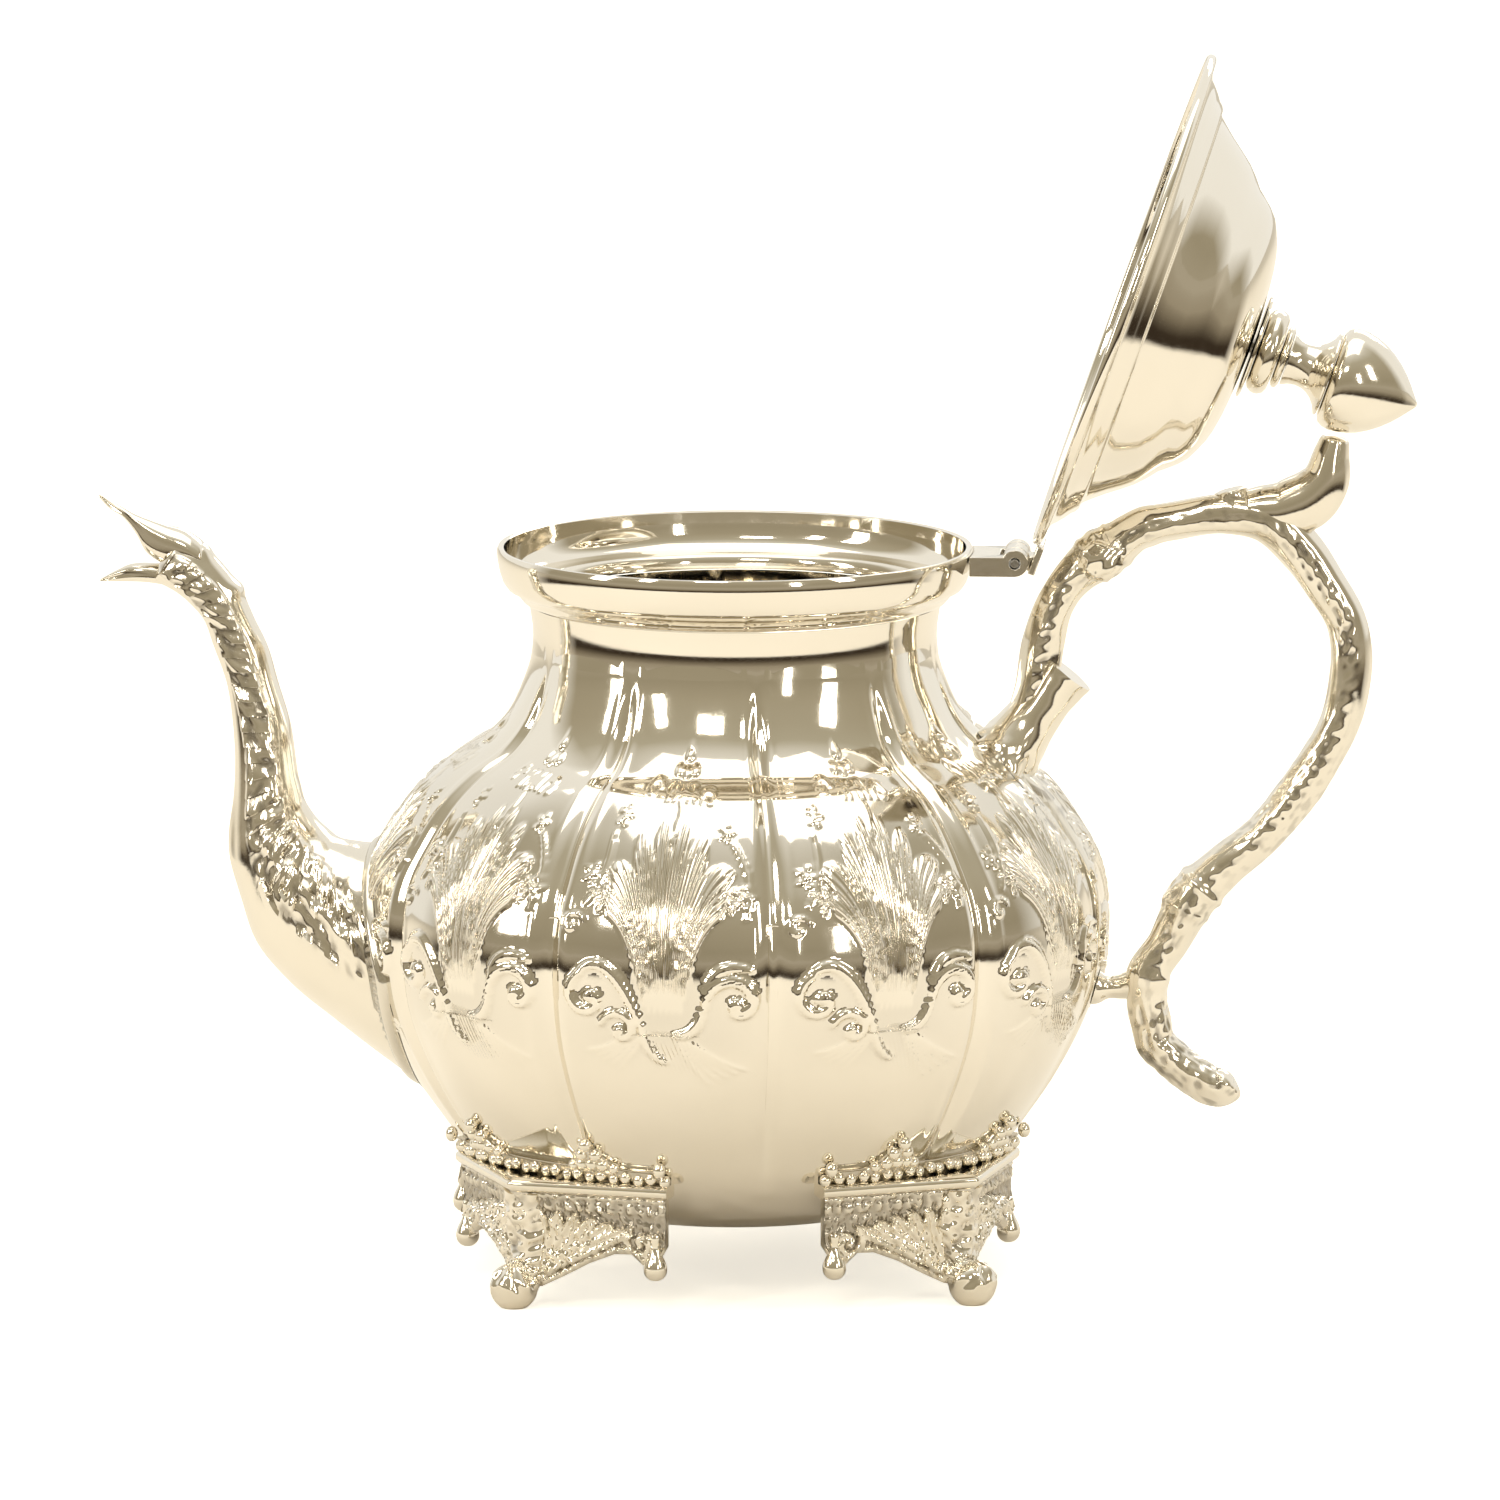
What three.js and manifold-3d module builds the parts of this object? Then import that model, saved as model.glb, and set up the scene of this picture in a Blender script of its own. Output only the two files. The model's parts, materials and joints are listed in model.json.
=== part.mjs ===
import * as THREE from "three";
import { mergeVertices } from "three/addons/utils/BufferGeometryUtils.js";
import Module from "manifold-3d";

// A lobed teapot with a hinged domed lid. Millimetres, Z up. The spout and handle lie in the
// X-Z plane, handle on +X. An angle round the pot is measured from -Y towards +X.

// Overall sizes. Heights are measured from a level a little below the floor.
const bowlRadius = 75;
const rimHeight = 147.4;
const floorLevel = 1.2;
const openingAngle = THREE.MathUtils.degToRad(109.6);

// Bowl
const bowlWall = 1.2;
const lobeCount = 10;
const creaseDepth = 2;
const creaseHalfAngle = THREE.MathUtils.degToRad(5);
const bowlTurn = THREE.MathUtils.degToRad(9.3);
const strainerHoleRadius = 1.6;
const strainerPitch = 8;

// Fits
const seam = 0.3;
const pinClearance = 0.3;
const knobRestGap = 0.4;

// Hinge
const pinRadius = 0.9;
const knuckleRadius = 2.7;
const hingeDrop = 2.1;
const lidPlaneRise = 1.65;
const lidEdgeToPin = 4.5;
const hingeWidth = 16;
const leafKnuckleWidth = 7;
const leafPlateThickness = 1.4;

// Lid and finial
const lidWall = 1.1;
const beadRadius = 1;
const studRadius = 1.5;
const knobRadius = 10.6;
const knobLength = 18.3;

// Spout
const flangeThickness = 1.5;
const spoutWall = 1.5;

// Feet
const footCount = 4;
const toeRadius = 4.8;
const soleRadius = 2.5;
const footTurn = THREE.MathUtils.degToRad(50.4);
const apronHalfAngle = THREE.MathUtils.degToRad(29);

// Sizes that follow from those above. The outlines below are drawn for a bowl of 75 mm radius
// and a rim 147.4 mm up, and are stretched to the two overall sizes.
const wide = bowlRadius / 75;
const tall = rimHeight / 147.4;
const rimRadius = 47.8 * wide;
const lidRadius = 52 * wide;
const hingeX = lidRadius + lidEdgeToPin;
const hingeZ = rimHeight - hingeDrop;
const lidBase = hingeZ + lidPlaneRise;
const lidRest = rimHeight + seam - lidBase;

const silver = { colour: 0xcfc4b0, roughness: 0.16 };
const wornSilver = { colour: 0xc2b7a2, roughness: 0.26 };
const steel = { colour: 0x9c9a96, roughness: 0.35 };

const wasm = await Module();
wasm.setup();
const root = new THREE.Group();
root.name = "teapot";

// ---------- general helpers ----------

function solidFrom(geometry) {
  const plain = geometry.index ? geometry.toNonIndexed() : geometry.clone();
  plain.deleteAttribute("normal");
  plain.deleteAttribute("uv");
  const welded = mergeVertices(plain, 1e-4);
  const corners = welded.index.array;
  const kept = [];
  for (let i = 0; i < corners.length; i += 3) {
    const [a, b, c] = [corners[i], corners[i + 1], corners[i + 2]];
    if (a !== b && b !== c && c !== a) kept.push([a, b, c]);
  }
  const build = (triangles) => {
    const vertProperties = welded.attributes.position.array;
    const triVerts = new Uint32Array(triangles.flat());
    return new wasm.Manifold(new wasm.Mesh({ numProp: 3, vertProperties, triVerts }));
  };
  const made = build(kept);
  if (made.volume() > 0) return made;
  return build(kept.map(([a, b, c]) => [a, c, b]));
}

function geometryFrom(solid) {
  const mesh = solid.getMesh();
  const positions = new Float32Array(mesh.numVert * 3);
  for (let i = 0; i < mesh.numVert; i += 1) {
    for (let k = 0; k < 3; k += 1) {
      positions[3 * i + k] = mesh.vertProperties[mesh.numProp * i + k];
    }
  }
  const geometry = new THREE.BufferGeometry();
  geometry.setAttribute("position", new THREE.BufferAttribute(positions, 3));
  geometry.setIndex(new THREE.BufferAttribute(new Uint32Array(mesh.triVerts), 1));
  const faceted = geometry.toNonIndexed();
  faceted.computeVertexNormals();
  return faceted;
}

function addPiece(parent, name, solid, finish) {
  const material = new THREE.MeshStandardMaterial({
    color: finish.colour,
    roughness: finish.roughness,
    metalness: 1,
  });
  const mesh = new THREE.Mesh(geometryFrom(solid), material);
  mesh.name = name;
  parent.add(mesh);
}

function lathe(points, segments, start = 0) {
  const outline = points.map(([r, z]) => new THREE.Vector2(r, z));
  const geometry = new THREE.LatheGeometry(outline, segments, start);
  geometry.rotateX(Math.PI / 2);
  return geometry;
}

function moveVertices(geometry, move) {
  const positions = geometry.attributes.position;
  const point = new THREE.Vector3();
  for (let i = 0; i < positions.count; i += 1) {
    point.fromBufferAttribute(positions, i);
    const moved = move(point);
    positions.setXYZ(i, moved.x, moved.y, moved.z);
  }
  return geometry;
}

function around(angle, radius, z) {
  return new THREE.Vector3(radius * Math.sin(angle), -radius * Math.cos(angle), z);
}

function barAlongY(radius, length, x, z, segments = 20) {
  const geometry = new THREE.CylinderGeometry(radius, radius, length, segments);
  return solidFrom(geometry.translate(x, 0, z));
}

function block(minimum, maximum) {
  const size = maximum.map((value, k) => value - minimum[k]);
  const centre = maximum.map((value, k) => (value + minimum[k]) / 2);
  return solidFrom(new THREE.BoxGeometry(...size).translate(...centre));
}

function upright(radius, bottom, top, segments = 40) {
  return solidFrom(lathe([[0, bottom], [radius, bottom], [radius, top], [0, top]], segments));
}

// A tapering limb in the X-Z plane. Each station is [x, z, half width in the plane, half width
// across it]; the sections stay square to the line through the stations. Only the stretch
// between the two given stations is made.
function limb(stations, rows, segments, extra = 0, first = 0, last = stations.length - 1) {
  const line = new THREE.CatmullRomCurve3(
    stations.map(([x, z]) => new THREE.Vector3(x, 0, z)), false, "centripetal");
  const sizes = new THREE.CatmullRomCurve3(
    stations.map(([, , inPlane, across]) => new THREE.Vector3(inPlane, across, 0)));
  return sweepUnit(rows, segments, (t) => {
    const place = THREE.MathUtils.lerp(first, last, t) / (stations.length - 1);
    const centre = line.getPoint(place);
    const along = line.getTangent(place);
    const size = sizes.getPoint(place);
    const side = new THREE.Vector3(-along.z, 0, along.x);
    return { centre, side, inPlane: size.x + extra, across: size.y + extra };
  });
}

const leastHalfWidth = 0.3;

// A limb given by its two edges in the X-Z plane. Each station is [x, z, x, z, half width
// across the plane].
function edgedLimb(stations, rows, segments, inset = 0) {
  const last = stations.length - 1;
  return sweepUnit(rows, segments, (t) => {
    const k = Math.min(Math.floor(t * last), last - 1);
    const [x0, z0, x1, z1, breadth] = stations[k].map(
      (value, n) => THREE.MathUtils.lerp(value, stations[k + 1][n], t * last - k));
    const centre = new THREE.Vector3((x0 + x1) / 2, 0, (z0 + z1) / 2);
    const half = new THREE.Vector3((x1 - x0) / 2, 0, (z1 - z0) / 2);
    const inPlane = Math.max(half.length() - inset, leastHalfWidth);
    const across = Math.max(breadth - inset, leastHalfWidth);
    return { centre, side: half.normalize(), inPlane, across };
  });
}

function sweepUnit(rows, segments, section) {
  const outline = [[0, 0]];
  for (let k = 0; k <= rows; k += 1) outline.push([1, k / rows]);
  outline.push([0, 1]);
  const unit = lathe(outline, segments);
  return solidFrom(moveVertices(unit, ({ x, y, z }) => {
    const { centre, side, inPlane, across } = section(THREE.MathUtils.clamp(z, 0, 1));
    const moved = centre.clone().addScaledVector(side, x * inPlane);
    moved.y += y * across;
    return moved;
  }));
}

// ---------- bowl ----------

const bowlOutline = [
  [34, 14.6], [46, 19], [54.5, 25.9], [60.8, 34], [66.4, 42.2], [70.6, 50.3], [73.6, 58.5],
  [75, 68], [74.6, 78.9], [73, 84.4], [69.3, 91.1], [63.6, 99], [57.6, 104.4], [50.4, 109],
  [46, 113.8], [43.2, 119.6], [41.4, 125], [41, 130], [41.8, 136],
].map(([r, z]) => [r * wide, z * tall]);
const bowlBottom = bowlOutline[0][1];

function outlineRadius(z) {
  const k = bowlOutline.findIndex((point) => point[1] >= z);
  if (k < 0) return bowlOutline.at(-1)[0];
  if (k === 0) return bowlOutline[0][0];
  const [r0, z0] = bowlOutline[k - 1];
  const [r1, z1] = bowlOutline[k];
  return r0 + ((r1 - r0) * (z - z0)) / (z1 - z0);
}

function creaseSink(angle, z) {
  const pitch = (2 * Math.PI) / lobeCount;
  const turned = (angle - bowlTurn) / pitch;
  const away = (turned - Math.round(turned)) * pitch;
  const lowFade = THREE.MathUtils.smoothstep(z, 28 * tall, 50 * tall);
  const highFade = 1 - THREE.MathUtils.smoothstep(z, 100 * tall, 124 * tall);
  return creaseDepth * lowFade * highFade * Math.exp(-((away / creaseHalfAngle) ** 2));
}

function bowlSurface(angle, z, offset) {
  return around(angle, outlineRadius(z) - creaseSink(angle, z) + offset, z);
}

function sinkCreases(geometry) {
  return moveVertices(geometry, (point) => {
    const radius = Math.hypot(point.x, point.y);
    if (radius < 1) return point;
    const angle = Math.atan2(point.x, -point.y);
    return around(angle, radius - creaseSink(angle, point.z), point.z);
  });
}

function offsetOutline(points, distance) {
  return points.map(([r, z], k) => {
    const [r0, z0] = points[Math.max(k - 1, 0)];
    const [r1, z1] = points[Math.min(k + 1, points.length - 1)];
    const length = Math.hypot(r1 - r0, z1 - z0);
    return [r - (distance * (z1 - z0)) / length, z + (distance * (r1 - r0)) / length];
  });
}

const bowlSegments = lobeCount * 6;

// The bowl's outer form as a solid block, grown by the given amount, for fitting pieces to it.
function bowlForm(grown) {
  const skin = offsetOutline(bowlOutline, -grown);
  const outline = [[0, skin[0][1]], ...skin, [0, skin.at(-1)[1]]];
  return solidFrom(sinkCreases(lathe(outline, bowlSegments, bowlTurn)));
}

const bowlInside = offsetOutline(bowlOutline, bowlWall);
bowlInside[0] = [bowlInside[1][0] - 11 * wide, bowlBottom + bowlWall];
bowlInside[bowlInside.length - 1][1] = bowlOutline.at(-1)[1];
const bowlInsideRows = bowlInside.filter((point, k) => k % 2 === 0 || k < 3).reverse();
const bowlShell = [[0, bowlBottom], ...bowlOutline, ...bowlInsideRows, [0, bowlBottom + bowlWall]];
let bowl = solidFrom(sinkCreases(lathe(bowlShell, bowlSegments, bowlTurn)));

const spoutBaseHeight = 62.2 * tall;
for (const row of [-1, 0, 1]) {
  const count = 5 - Math.abs(row);
  for (let k = 0; k < count; k += 1) {
    const y = (k - (count - 1) / 2) * strainerPitch * wide;
    const z = spoutBaseHeight + row * strainerPitch * 0.85 * tall;
    const drill = new THREE.CylinderGeometry(strainerHoleRadius, strainerHoleRadius, 24, 8);
    drill.rotateZ(Math.PI / 2).translate(-outlineRadius(z), y, z);
    bowl = bowl.subtract(solidFrom(drill));
  }
}
addPiece(root, "bowl", bowl, silver);

// ---------- rim band round the mouth ----------

const rimSegments = 36;
const rimSkin = [
  [41.8, 136.3], [42.7, 136.7], [43.4, 137.7], [45.4, 138.9], [46.6, 140.5], [47.4, 142.3],
  [47.8, 145], [47.6, 147.4], [46.4, 147.4], [46.2, 142.8], [44.6, 140.3], [43.2, 139.4],
  [40.7, 138.9], [40.6, 136.3], [41.8, 136.3],
].map(([r, z]) => [r * wide, z * tall]);
addPiece(root, "rim_band", solidFrom(lathe(rimSkin, rimSegments)), silver);

// ---------- feet ----------

const toeCentre = [64.6 * wide, floorLevel + Math.sqrt(toeRadius ** 2 - soleRadius ** 2)];
const clearOfBowl = bowlForm(seam);

function turnFromX(solid, angle) {
  return solid.rotate([0, 0, THREE.MathUtils.radToDeg(angle) - 90]);
}

// A foot has two flat faces that meet at a corner over the toe; the far edge of each face lies
// on the bowl. Seen from above, this is the outline at a given height.
const cornerReach = [[3, 62.6], [9, 61.2], [15, 61.4], [22, 63.6], [26, 64.6], [40, 64.6]];
const faceHem = [
  [0, 4.6], [0.14, 5.4], [0.28, 7.6], [0.46, 10.6], [0.64, 12.8], [0.76, 13], [0.84, 11],
  [0.9, 10.6], [0.95, 11.6], [1, 14],
];

function along(points, x) {
  const k = Math.max(1, points.findIndex((point) => point[0] >= x));
  const [[x0, y0], [x1, y1]] = [points[k - 1], points[k]];
  return THREE.MathUtils.clamp(y0 + ((y1 - y0) * (x - x0)) / (x1 - x0), 0, 100);
}

function facePoint(share, height, inset) {
  const side = Math.sign(share) || 1;
  const corner = new THREE.Vector3(along(cornerReach, height / tall) * wide - inset, 0, height);
  const edge = around(Math.PI / 2 + side * apronHalfAngle, 57.2 * wide - inset, height);
  return corner.lerp(edge, Math.abs(share));
}

function footFaces() {
  const plate = new THREE.BoxGeometry(2, 1, 1, 14, 3, 1);
  return solidFrom(moveVertices(plate, ({ x, y, z }) => {
    const hem = along(faceHem, Math.min(Math.abs(x), 1)) * tall;
    const height = THREE.MathUtils.lerp(hem, 25.4 * tall, y + 0.5);
    return facePoint(x, height, z > 0 ? 0 : 2.4);
  }));
}

function footShelf() {
  const half = (27.1 + 0.6) * wide;
  const outline = new THREE.Shape();
  outline.moveTo(66.4 * wide, 0);
  outline.lineTo(49.6 * wide, half);
  outline.lineTo(44 * wide, half - 6);
  outline.lineTo(44 * wide, 6 - half);
  outline.lineTo(49.6 * wide, -half);
  outline.closePath();
  const slab = new THREE.ExtrudeGeometry(outline, { depth: 2.6, bevelEnabled: false });
  return solidFrom(slab.translate(0, 0, 24.6 * tall));
}

// The beaded band on the bowl above the shelf, with a crest over the middle of each face.
function footBand() {
  const plate = new THREE.BoxGeometry(2, 1, 1, 16, 1, 1);
  return solidFrom(moveVertices(plate, ({ x, y, z }) => {
    const crest = 6 * Math.exp(-(((Math.abs(x) - 0.5) / 0.1) ** 2));
    const height = THREE.MathUtils.lerp(25 * tall, (30.6 + crest) * tall, y + 0.5);
    const stand = z > 0 ? THREE.MathUtils.lerp(3.4, 1.5, y + 0.5) : -0.6;
    return around(Math.PI / 2 + x * apronHalfAngle, outlineRadius(height) + stand, height);
  }));
}

function makeFoot() {
  const leg = limb([
    [61.2 * wide, 25.2 * tall, 3.1, 7 * wide],
    [60 * wide, 19 * tall, 3, 6.4 * wide],
    [58.9 * wide, 13 * tall, 2.9, 5.6 * wide],
    [59.6 * wide, 9 * tall, 2.9, 4.8 * wide],
    [toeCentre[0] - 1, toeCentre[1] + 1.2, 3.2, 4.3 * wide],
  ], 6, 8);
  const toe = solidFrom(
    new THREE.SphereGeometry(toeRadius, 10, 7).rotateX(Math.PI / 2)
      .translate(toeCentre[0], 0, toeCentre[1]));
  const reach = 2 * bowlRadius;
  const floor = block([-reach, -reach, -reach], [reach, reach, floorLevel]);
  return leg.add(toe).add(footFaces()).add(footShelf()).add(footBand()).subtract(floor);
}

const foot = makeFoot();
const footNames = ["foot_front_right", "foot_back_right", "foot_back_left", "foot_front_left"];
for (let k = 0; k < footCount; k += 1) {
  const turned = turnFromX(foot, footTurn + (k * 2 * Math.PI) / footCount);
  addPiece(root, footNames[k], turned.subtract(clearOfBowl), silver);
}

// ---------- spout ----------

// Edges of the spout's side view, lower edge first, with the half width across.
const spoutEdges = [
  [-60, 35.4, -66, 87.4, 25], [-65, 38.4, -73, 86.3, 23], [-73.4, 44.3, -77, 86.6, 19.5],
  [-80.2, 49.4, -79.8, 87.2, 16.6], [-90.1, 57.4, -82.4, 89.3, 13.6],
  [-96.9, 65.6, -84.3, 91.2, 11.4], [-99.7, 73.6, -85.7, 93.2, 9.8],
  [-101.6, 82, -86.7, 95.2, 8.5], [-101.8, 88.5, -87.3, 97.7, 7.5],
  [-101.4, 95, -87.9, 100.3, 6.9], [-101.2, 102.2, -88.3, 103.4, 6.5],
  [-101.6, 110.3, -89.3, 110.4, 6.2], [-102.8, 118.5, -91.7, 118.6, 5.9],
  [-105.6, 126.6, -94.1, 126.7, 5.8], [-107.2, 131.1, -96.3, 131.2, 6],
  [-109.6, 134.1, -98.7, 136.5, 6.4], [-112.4, 136.5, -101.8, 141.5, 6.6],
  [-115.6, 138.2, -106.4, 146, 6.2], [-118, 138.9, -112.6, 149.1, 5.2],
].map(([x0, z0, x1, z1, half]) => [x0 * wide, z0 * tall, x1 * wide, z1 * tall, half * wide]);

const upperBeak = [
  [-110, 141.9, -110, 150.3, 4.6], [-116, 143.1, -114.6, 150.8, 3.8],
  [-118.8, 145.3, -117.6, 151.7, 3], [-120.4, 148.4, -120.2, 152.4, 2.3],
  [-123.2, 152, -122.6, 153.6, 1.7], [-126, 153.8, -125, 154.8, 1.1],
  [-128.2, 156.2, -127.8, 156.8, 0.5],
].map(([x0, z0, x1, z1, half]) => [x0 * wide, z0 * tall, x1 * wide, z1 * tall, half * wide]);

const lowerBeak = [
  [-111, 137.3, -111, 142.3, 4.4], [-116, 138.5, -116, 142.5, 3.4],
  [-120.3, 138.9, -120.3, 142.9, 2.6], [-122.4, 138.9, -122, 142.9, 2],
  [-125, 138.9, -124.8, 141.3, 1.3], [-128, 138.9, -128, 139.4, 0.5],
].map(([x0, z0, x1, z1, half]) => [x0 * wide, z0 * tall, x1 * wide, z1 * tall, half * wide]);

const spoutForm = edgedLimb(spoutEdges, 26, 16);
const channelEdges = [
  ...spoutEdges.slice(0, 17),
  [-122 * wide, 143.4 * tall, -119 * wide, 149.4 * tall, 3.4 * wide],
];
channelEdges[0] = channelEdges[0].map((value, k) => (k % 2 === 0 && k < 4 ? value + 8 : value));
const spoutChannel = edgedLimb(channelEdges, 24, 12, spoutWall);
const spout = spoutForm
  .add(edgedLimb(upperBeak, 10, 8))
  .add(edgedLimb(lowerBeak, 8, 8))
  .subtract(spoutChannel)
  .subtract(bowlForm(seam + flangeThickness + seam));
addPiece(root, "spout", spout, silver);

function makeFlange() {
  const inner = 0.74;
  const rows = [inner, 0.87, 1];
  const ring = [
    ...rows.map((r) => [r, 0]), ...rows.toReversed().map((r) => [r, 1]), [inner, 0],
  ];
  const middle = -Math.PI / 2;
  return solidFrom(moveVertices(lathe(ring, 36), ({ x, y, z }) => {
    const reach = Math.hypot(x, y);
    const point = Math.abs(y) / reach;
    const spread = 29 * wide * x * (1 - 0.12 * point);
    const height = spoutBaseHeight + 23.6 * tall * y * (1 + 0.06 * point ** 4);
    const stand = z > 0.5 ? seam + flangeThickness : -0.4;
    const angle = middle + spread / bowlRadius;
    return bowlSurface(angle, height, stand);
  }));
}
addPiece(root, "spout_flange", makeFlange().subtract(clearOfBowl), wornSilver);

// ---------- handle ----------

const at = (x, z, inPlane, across = inPlane) => [x * wide, z * tall, inPlane, across];
const branch = [
  at(57.5, 109.6, 4.2), at(60.3, 118, 4.4), at(61.9, 128.2, 4.2), at(64.6, 136.4, 4.1),
  at(67.2, 140.5, 4.2), at(71, 144.4, 4.8), at(73.6, 146.3, 5.4), at(76.4, 148.1, 4.8),
  at(80.4, 150.9, 4.3), at(89.5, 153.4, 4.2), at(98.5, 154.6, 4.5), at(106.6, 153.6, 5),
  at(113.6, 147.1, 4.8), at(118, 141, 4.4), at(122.7, 132.9, 4.2), at(123.7, 126.8, 4.2),
  at(123.3, 120.7, 4.2), at(121.5, 112.5, 4.2), at(117.2, 104.3, 4.2), at(111.6, 96.1, 4.3),
  at(104.6, 87.9, 4.3), at(99.5, 83.8, 4.4), at(94.7, 79.4, 4.9), at(91.8, 76.1, 5.4),
  at(89.9, 72.5, 4.9), at(87.3, 67.3, 4.4), at(83.5, 61.2, 4.6), at(83.1, 55, 4.4),
  at(83.9, 51, 4.3), at(84.9, 46.9, 4.2), at(87.5, 44.1, 4.2), at(92.5, 40.1, 4.2),
  at(97.9, 38.1, 4.2), at(100.6, 39.9, 4.1),
];
const upperJoint = 6;
const lowerJoint = 23;
const branchEnd = branch.length - 1;
const stump = [
  at(48, 95.5, 9, 15), at(54.6, 105.5, 7.8, 12), at(59.4, 112.2, 6.3, 7), at(67.3, 122.3, 5.7),
];

// The branch is three castings butted at its two thickest knots; the gap is a share of the
// stretch from a knot to its neighbouring station.
function gapAt(knot) {
  const [[x0, z0], [x1, z1]] = [branch[knot - 1], branch[knot + 1]];
  return (2 * seam) / Math.hypot(x1 - x0, z1 - z0);
}
const [upperGap, lowerGap] = [gapAt(upperJoint), gapAt(lowerJoint)];
const upperArm = (extra) => limb(branch, 14, 12, extra, 0, upperJoint - upperGap);
const grip = (extra) => limb(branch, 30, 12, extra, upperJoint + upperGap, lowerJoint - lowerGap);
const lowerArm = (extra) => limb(branch, 22, 12, extra, lowerJoint + lowerGap, branchEnd);
addPiece(root, "handle_upper_arm", upperArm(0).subtract(clearOfBowl), silver);
const armEndRoom = upperArm(seam).translate([-seam, 0, -seam]);
const stumpForm = limb(stump, 9, 16)
  .subtract(upperArm(seam))
  .subtract(armEndRoom)
  .subtract(clearOfBowl);
const stumpParts = stumpForm.decompose().sort((a, b) => b.volume() - a.volume());
addPiece(root, "handle_stump", stumpParts[0], silver);
addPiece(root, "handle_grip", grip(0), silver);
addPiece(root, "handle_lower_arm", lowerArm(0), silver);

const pegZ = 59.3 * tall;
const pegForm = solidFrom(
  new THREE.CylinderGeometry(2.4, 3, 16, 12).rotateZ(-Math.PI / 2)
    .translate(77 * wide, 0, pegZ));
const peg = pegForm.subtract(clearOfBowl).subtract(lowerArm(seam));
const pegParts = peg.decompose().sort((a, b) => b.volume() - a.volume());
addPiece(root, "handle_peg", pegParts[0], silver);

// ---------- hinge, fixed side ----------

const halfHinge = hingeWidth / 2;
const halfLeaf = leafKnuckleWidth / 2;
const pinHole = barAlongY(pinRadius + pinClearance, 2 * hingeWidth, hingeX, hingeZ, 16);
const slotDepth = knuckleRadius + 0.4;
const blockTop = lidBase - 0.45;
const rimClearance = upright(rimRadius + seam, hingeZ - 20, hingeZ + 20);
const hingeBlock = block(
  [rimRadius - 3, -halfHinge, hingeZ - knuckleRadius],
  [hingeX, halfHinge, blockTop])
  .add(barAlongY(knuckleRadius, hingeWidth, hingeX, hingeZ))
  .subtract(block(
    [hingeX - slotDepth, -halfLeaf - seam, hingeZ - 2 * knuckleRadius],
    [hingeX + 2 * knuckleRadius, halfLeaf + seam, hingeZ + 2 * knuckleRadius]))
  .subtract(pinHole)
  .subtract(rimClearance);
addPiece(root, "hinge_block", hingeBlock, wornSilver);
addPiece(root, "hinge_pin", barAlongY(pinRadius, hingeWidth, hingeX, hingeZ, 12), steel);

// ---------- lid, drawn closed in its own frame with the hinge pin on the Y axis ----------

const lidSegments = 36;
const lidHeight = (h) => lidBase + h;
const crown = 28 * tall;
const boreRadius = studRadius + pinClearance;
const lidSkin = [
  [46.8, 3.4], [43.6, 5.6], [42.8, 6.5], [41, 6.6], [37.8, 10.6],
  [34, 15.5], [30, 19], [27.3, 22.2], [23.3, 24.9], [18.5, 26.6], [12.8, 27.3],
].map(([r, h]) => [r * wide, lidHeight(h * tall)]);
const shellEdge = lidRadius - 2 * beadRadius - seam;
const restInside = rimRadius - 2.6;
const lidUnder = offsetOutline(lidSkin.slice(1), lidWall).filter((point, k) => k !== 1 && k !== 3);
const lidOutline = [
  [shellEdge, lidHeight(lidRest)], [shellEdge, lidHeight(lidRest + lidWall)],
  ...lidSkin,
  [boreRadius, lidHeight(crown)], [boreRadius, lidHeight(crown - lidWall)],
  ...lidUnder.toReversed(),
  [restInside, lidHeight(lidRest)],
  [shellEdge, lidHeight(lidRest)],
];
const beadCentre = [lidRadius - beadRadius, lidHeight(beadRadius)];
const beadOutline = [];
for (let k = 0; k <= 6; k += 1) {
  const angle = (-k * Math.PI) / 3;
  beadOutline.push([
    beadCentre[0] + beadRadius * Math.cos(angle),
    beadCentre[1] + beadRadius * Math.sin(angle),
  ]);
}

const lid = new THREE.Group();
lid.name = "lid";
const toHinge = (solid) => solid.translate([-hingeX, 0, -hingeZ]);
const addToLid = (name, solid, finish) => addPiece(lid, name, toHinge(solid), finish);
addToLid("lid_shell", solidFrom(lathe(lidOutline, lidSegments)), silver);
addToLid("lid_rim_bead", solidFrom(lathe(beadOutline, lidSegments)), silver);

const leafBottom = hingeZ + knuckleRadius + 0.4;
const leafTop = leafBottom + leafPlateThickness;
const leaf = block(
  [lidRadius - 3, -halfHinge + 1, leafBottom], [hingeX + 1.2, halfHinge - 1, leafTop])
  .add(block([hingeX - 1.8, -halfLeaf, hingeZ], [hingeX + 1.2, halfLeaf, leafTop]))
  .add(barAlongY(knuckleRadius, leafKnuckleWidth, hingeX, hingeZ))
  .subtract(pinHole)
  .subtract(upright(lidRadius + seam, hingeZ - 20, hingeZ + 20));
addToLid("hinge_leaf", leaf, wornSilver);

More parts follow.
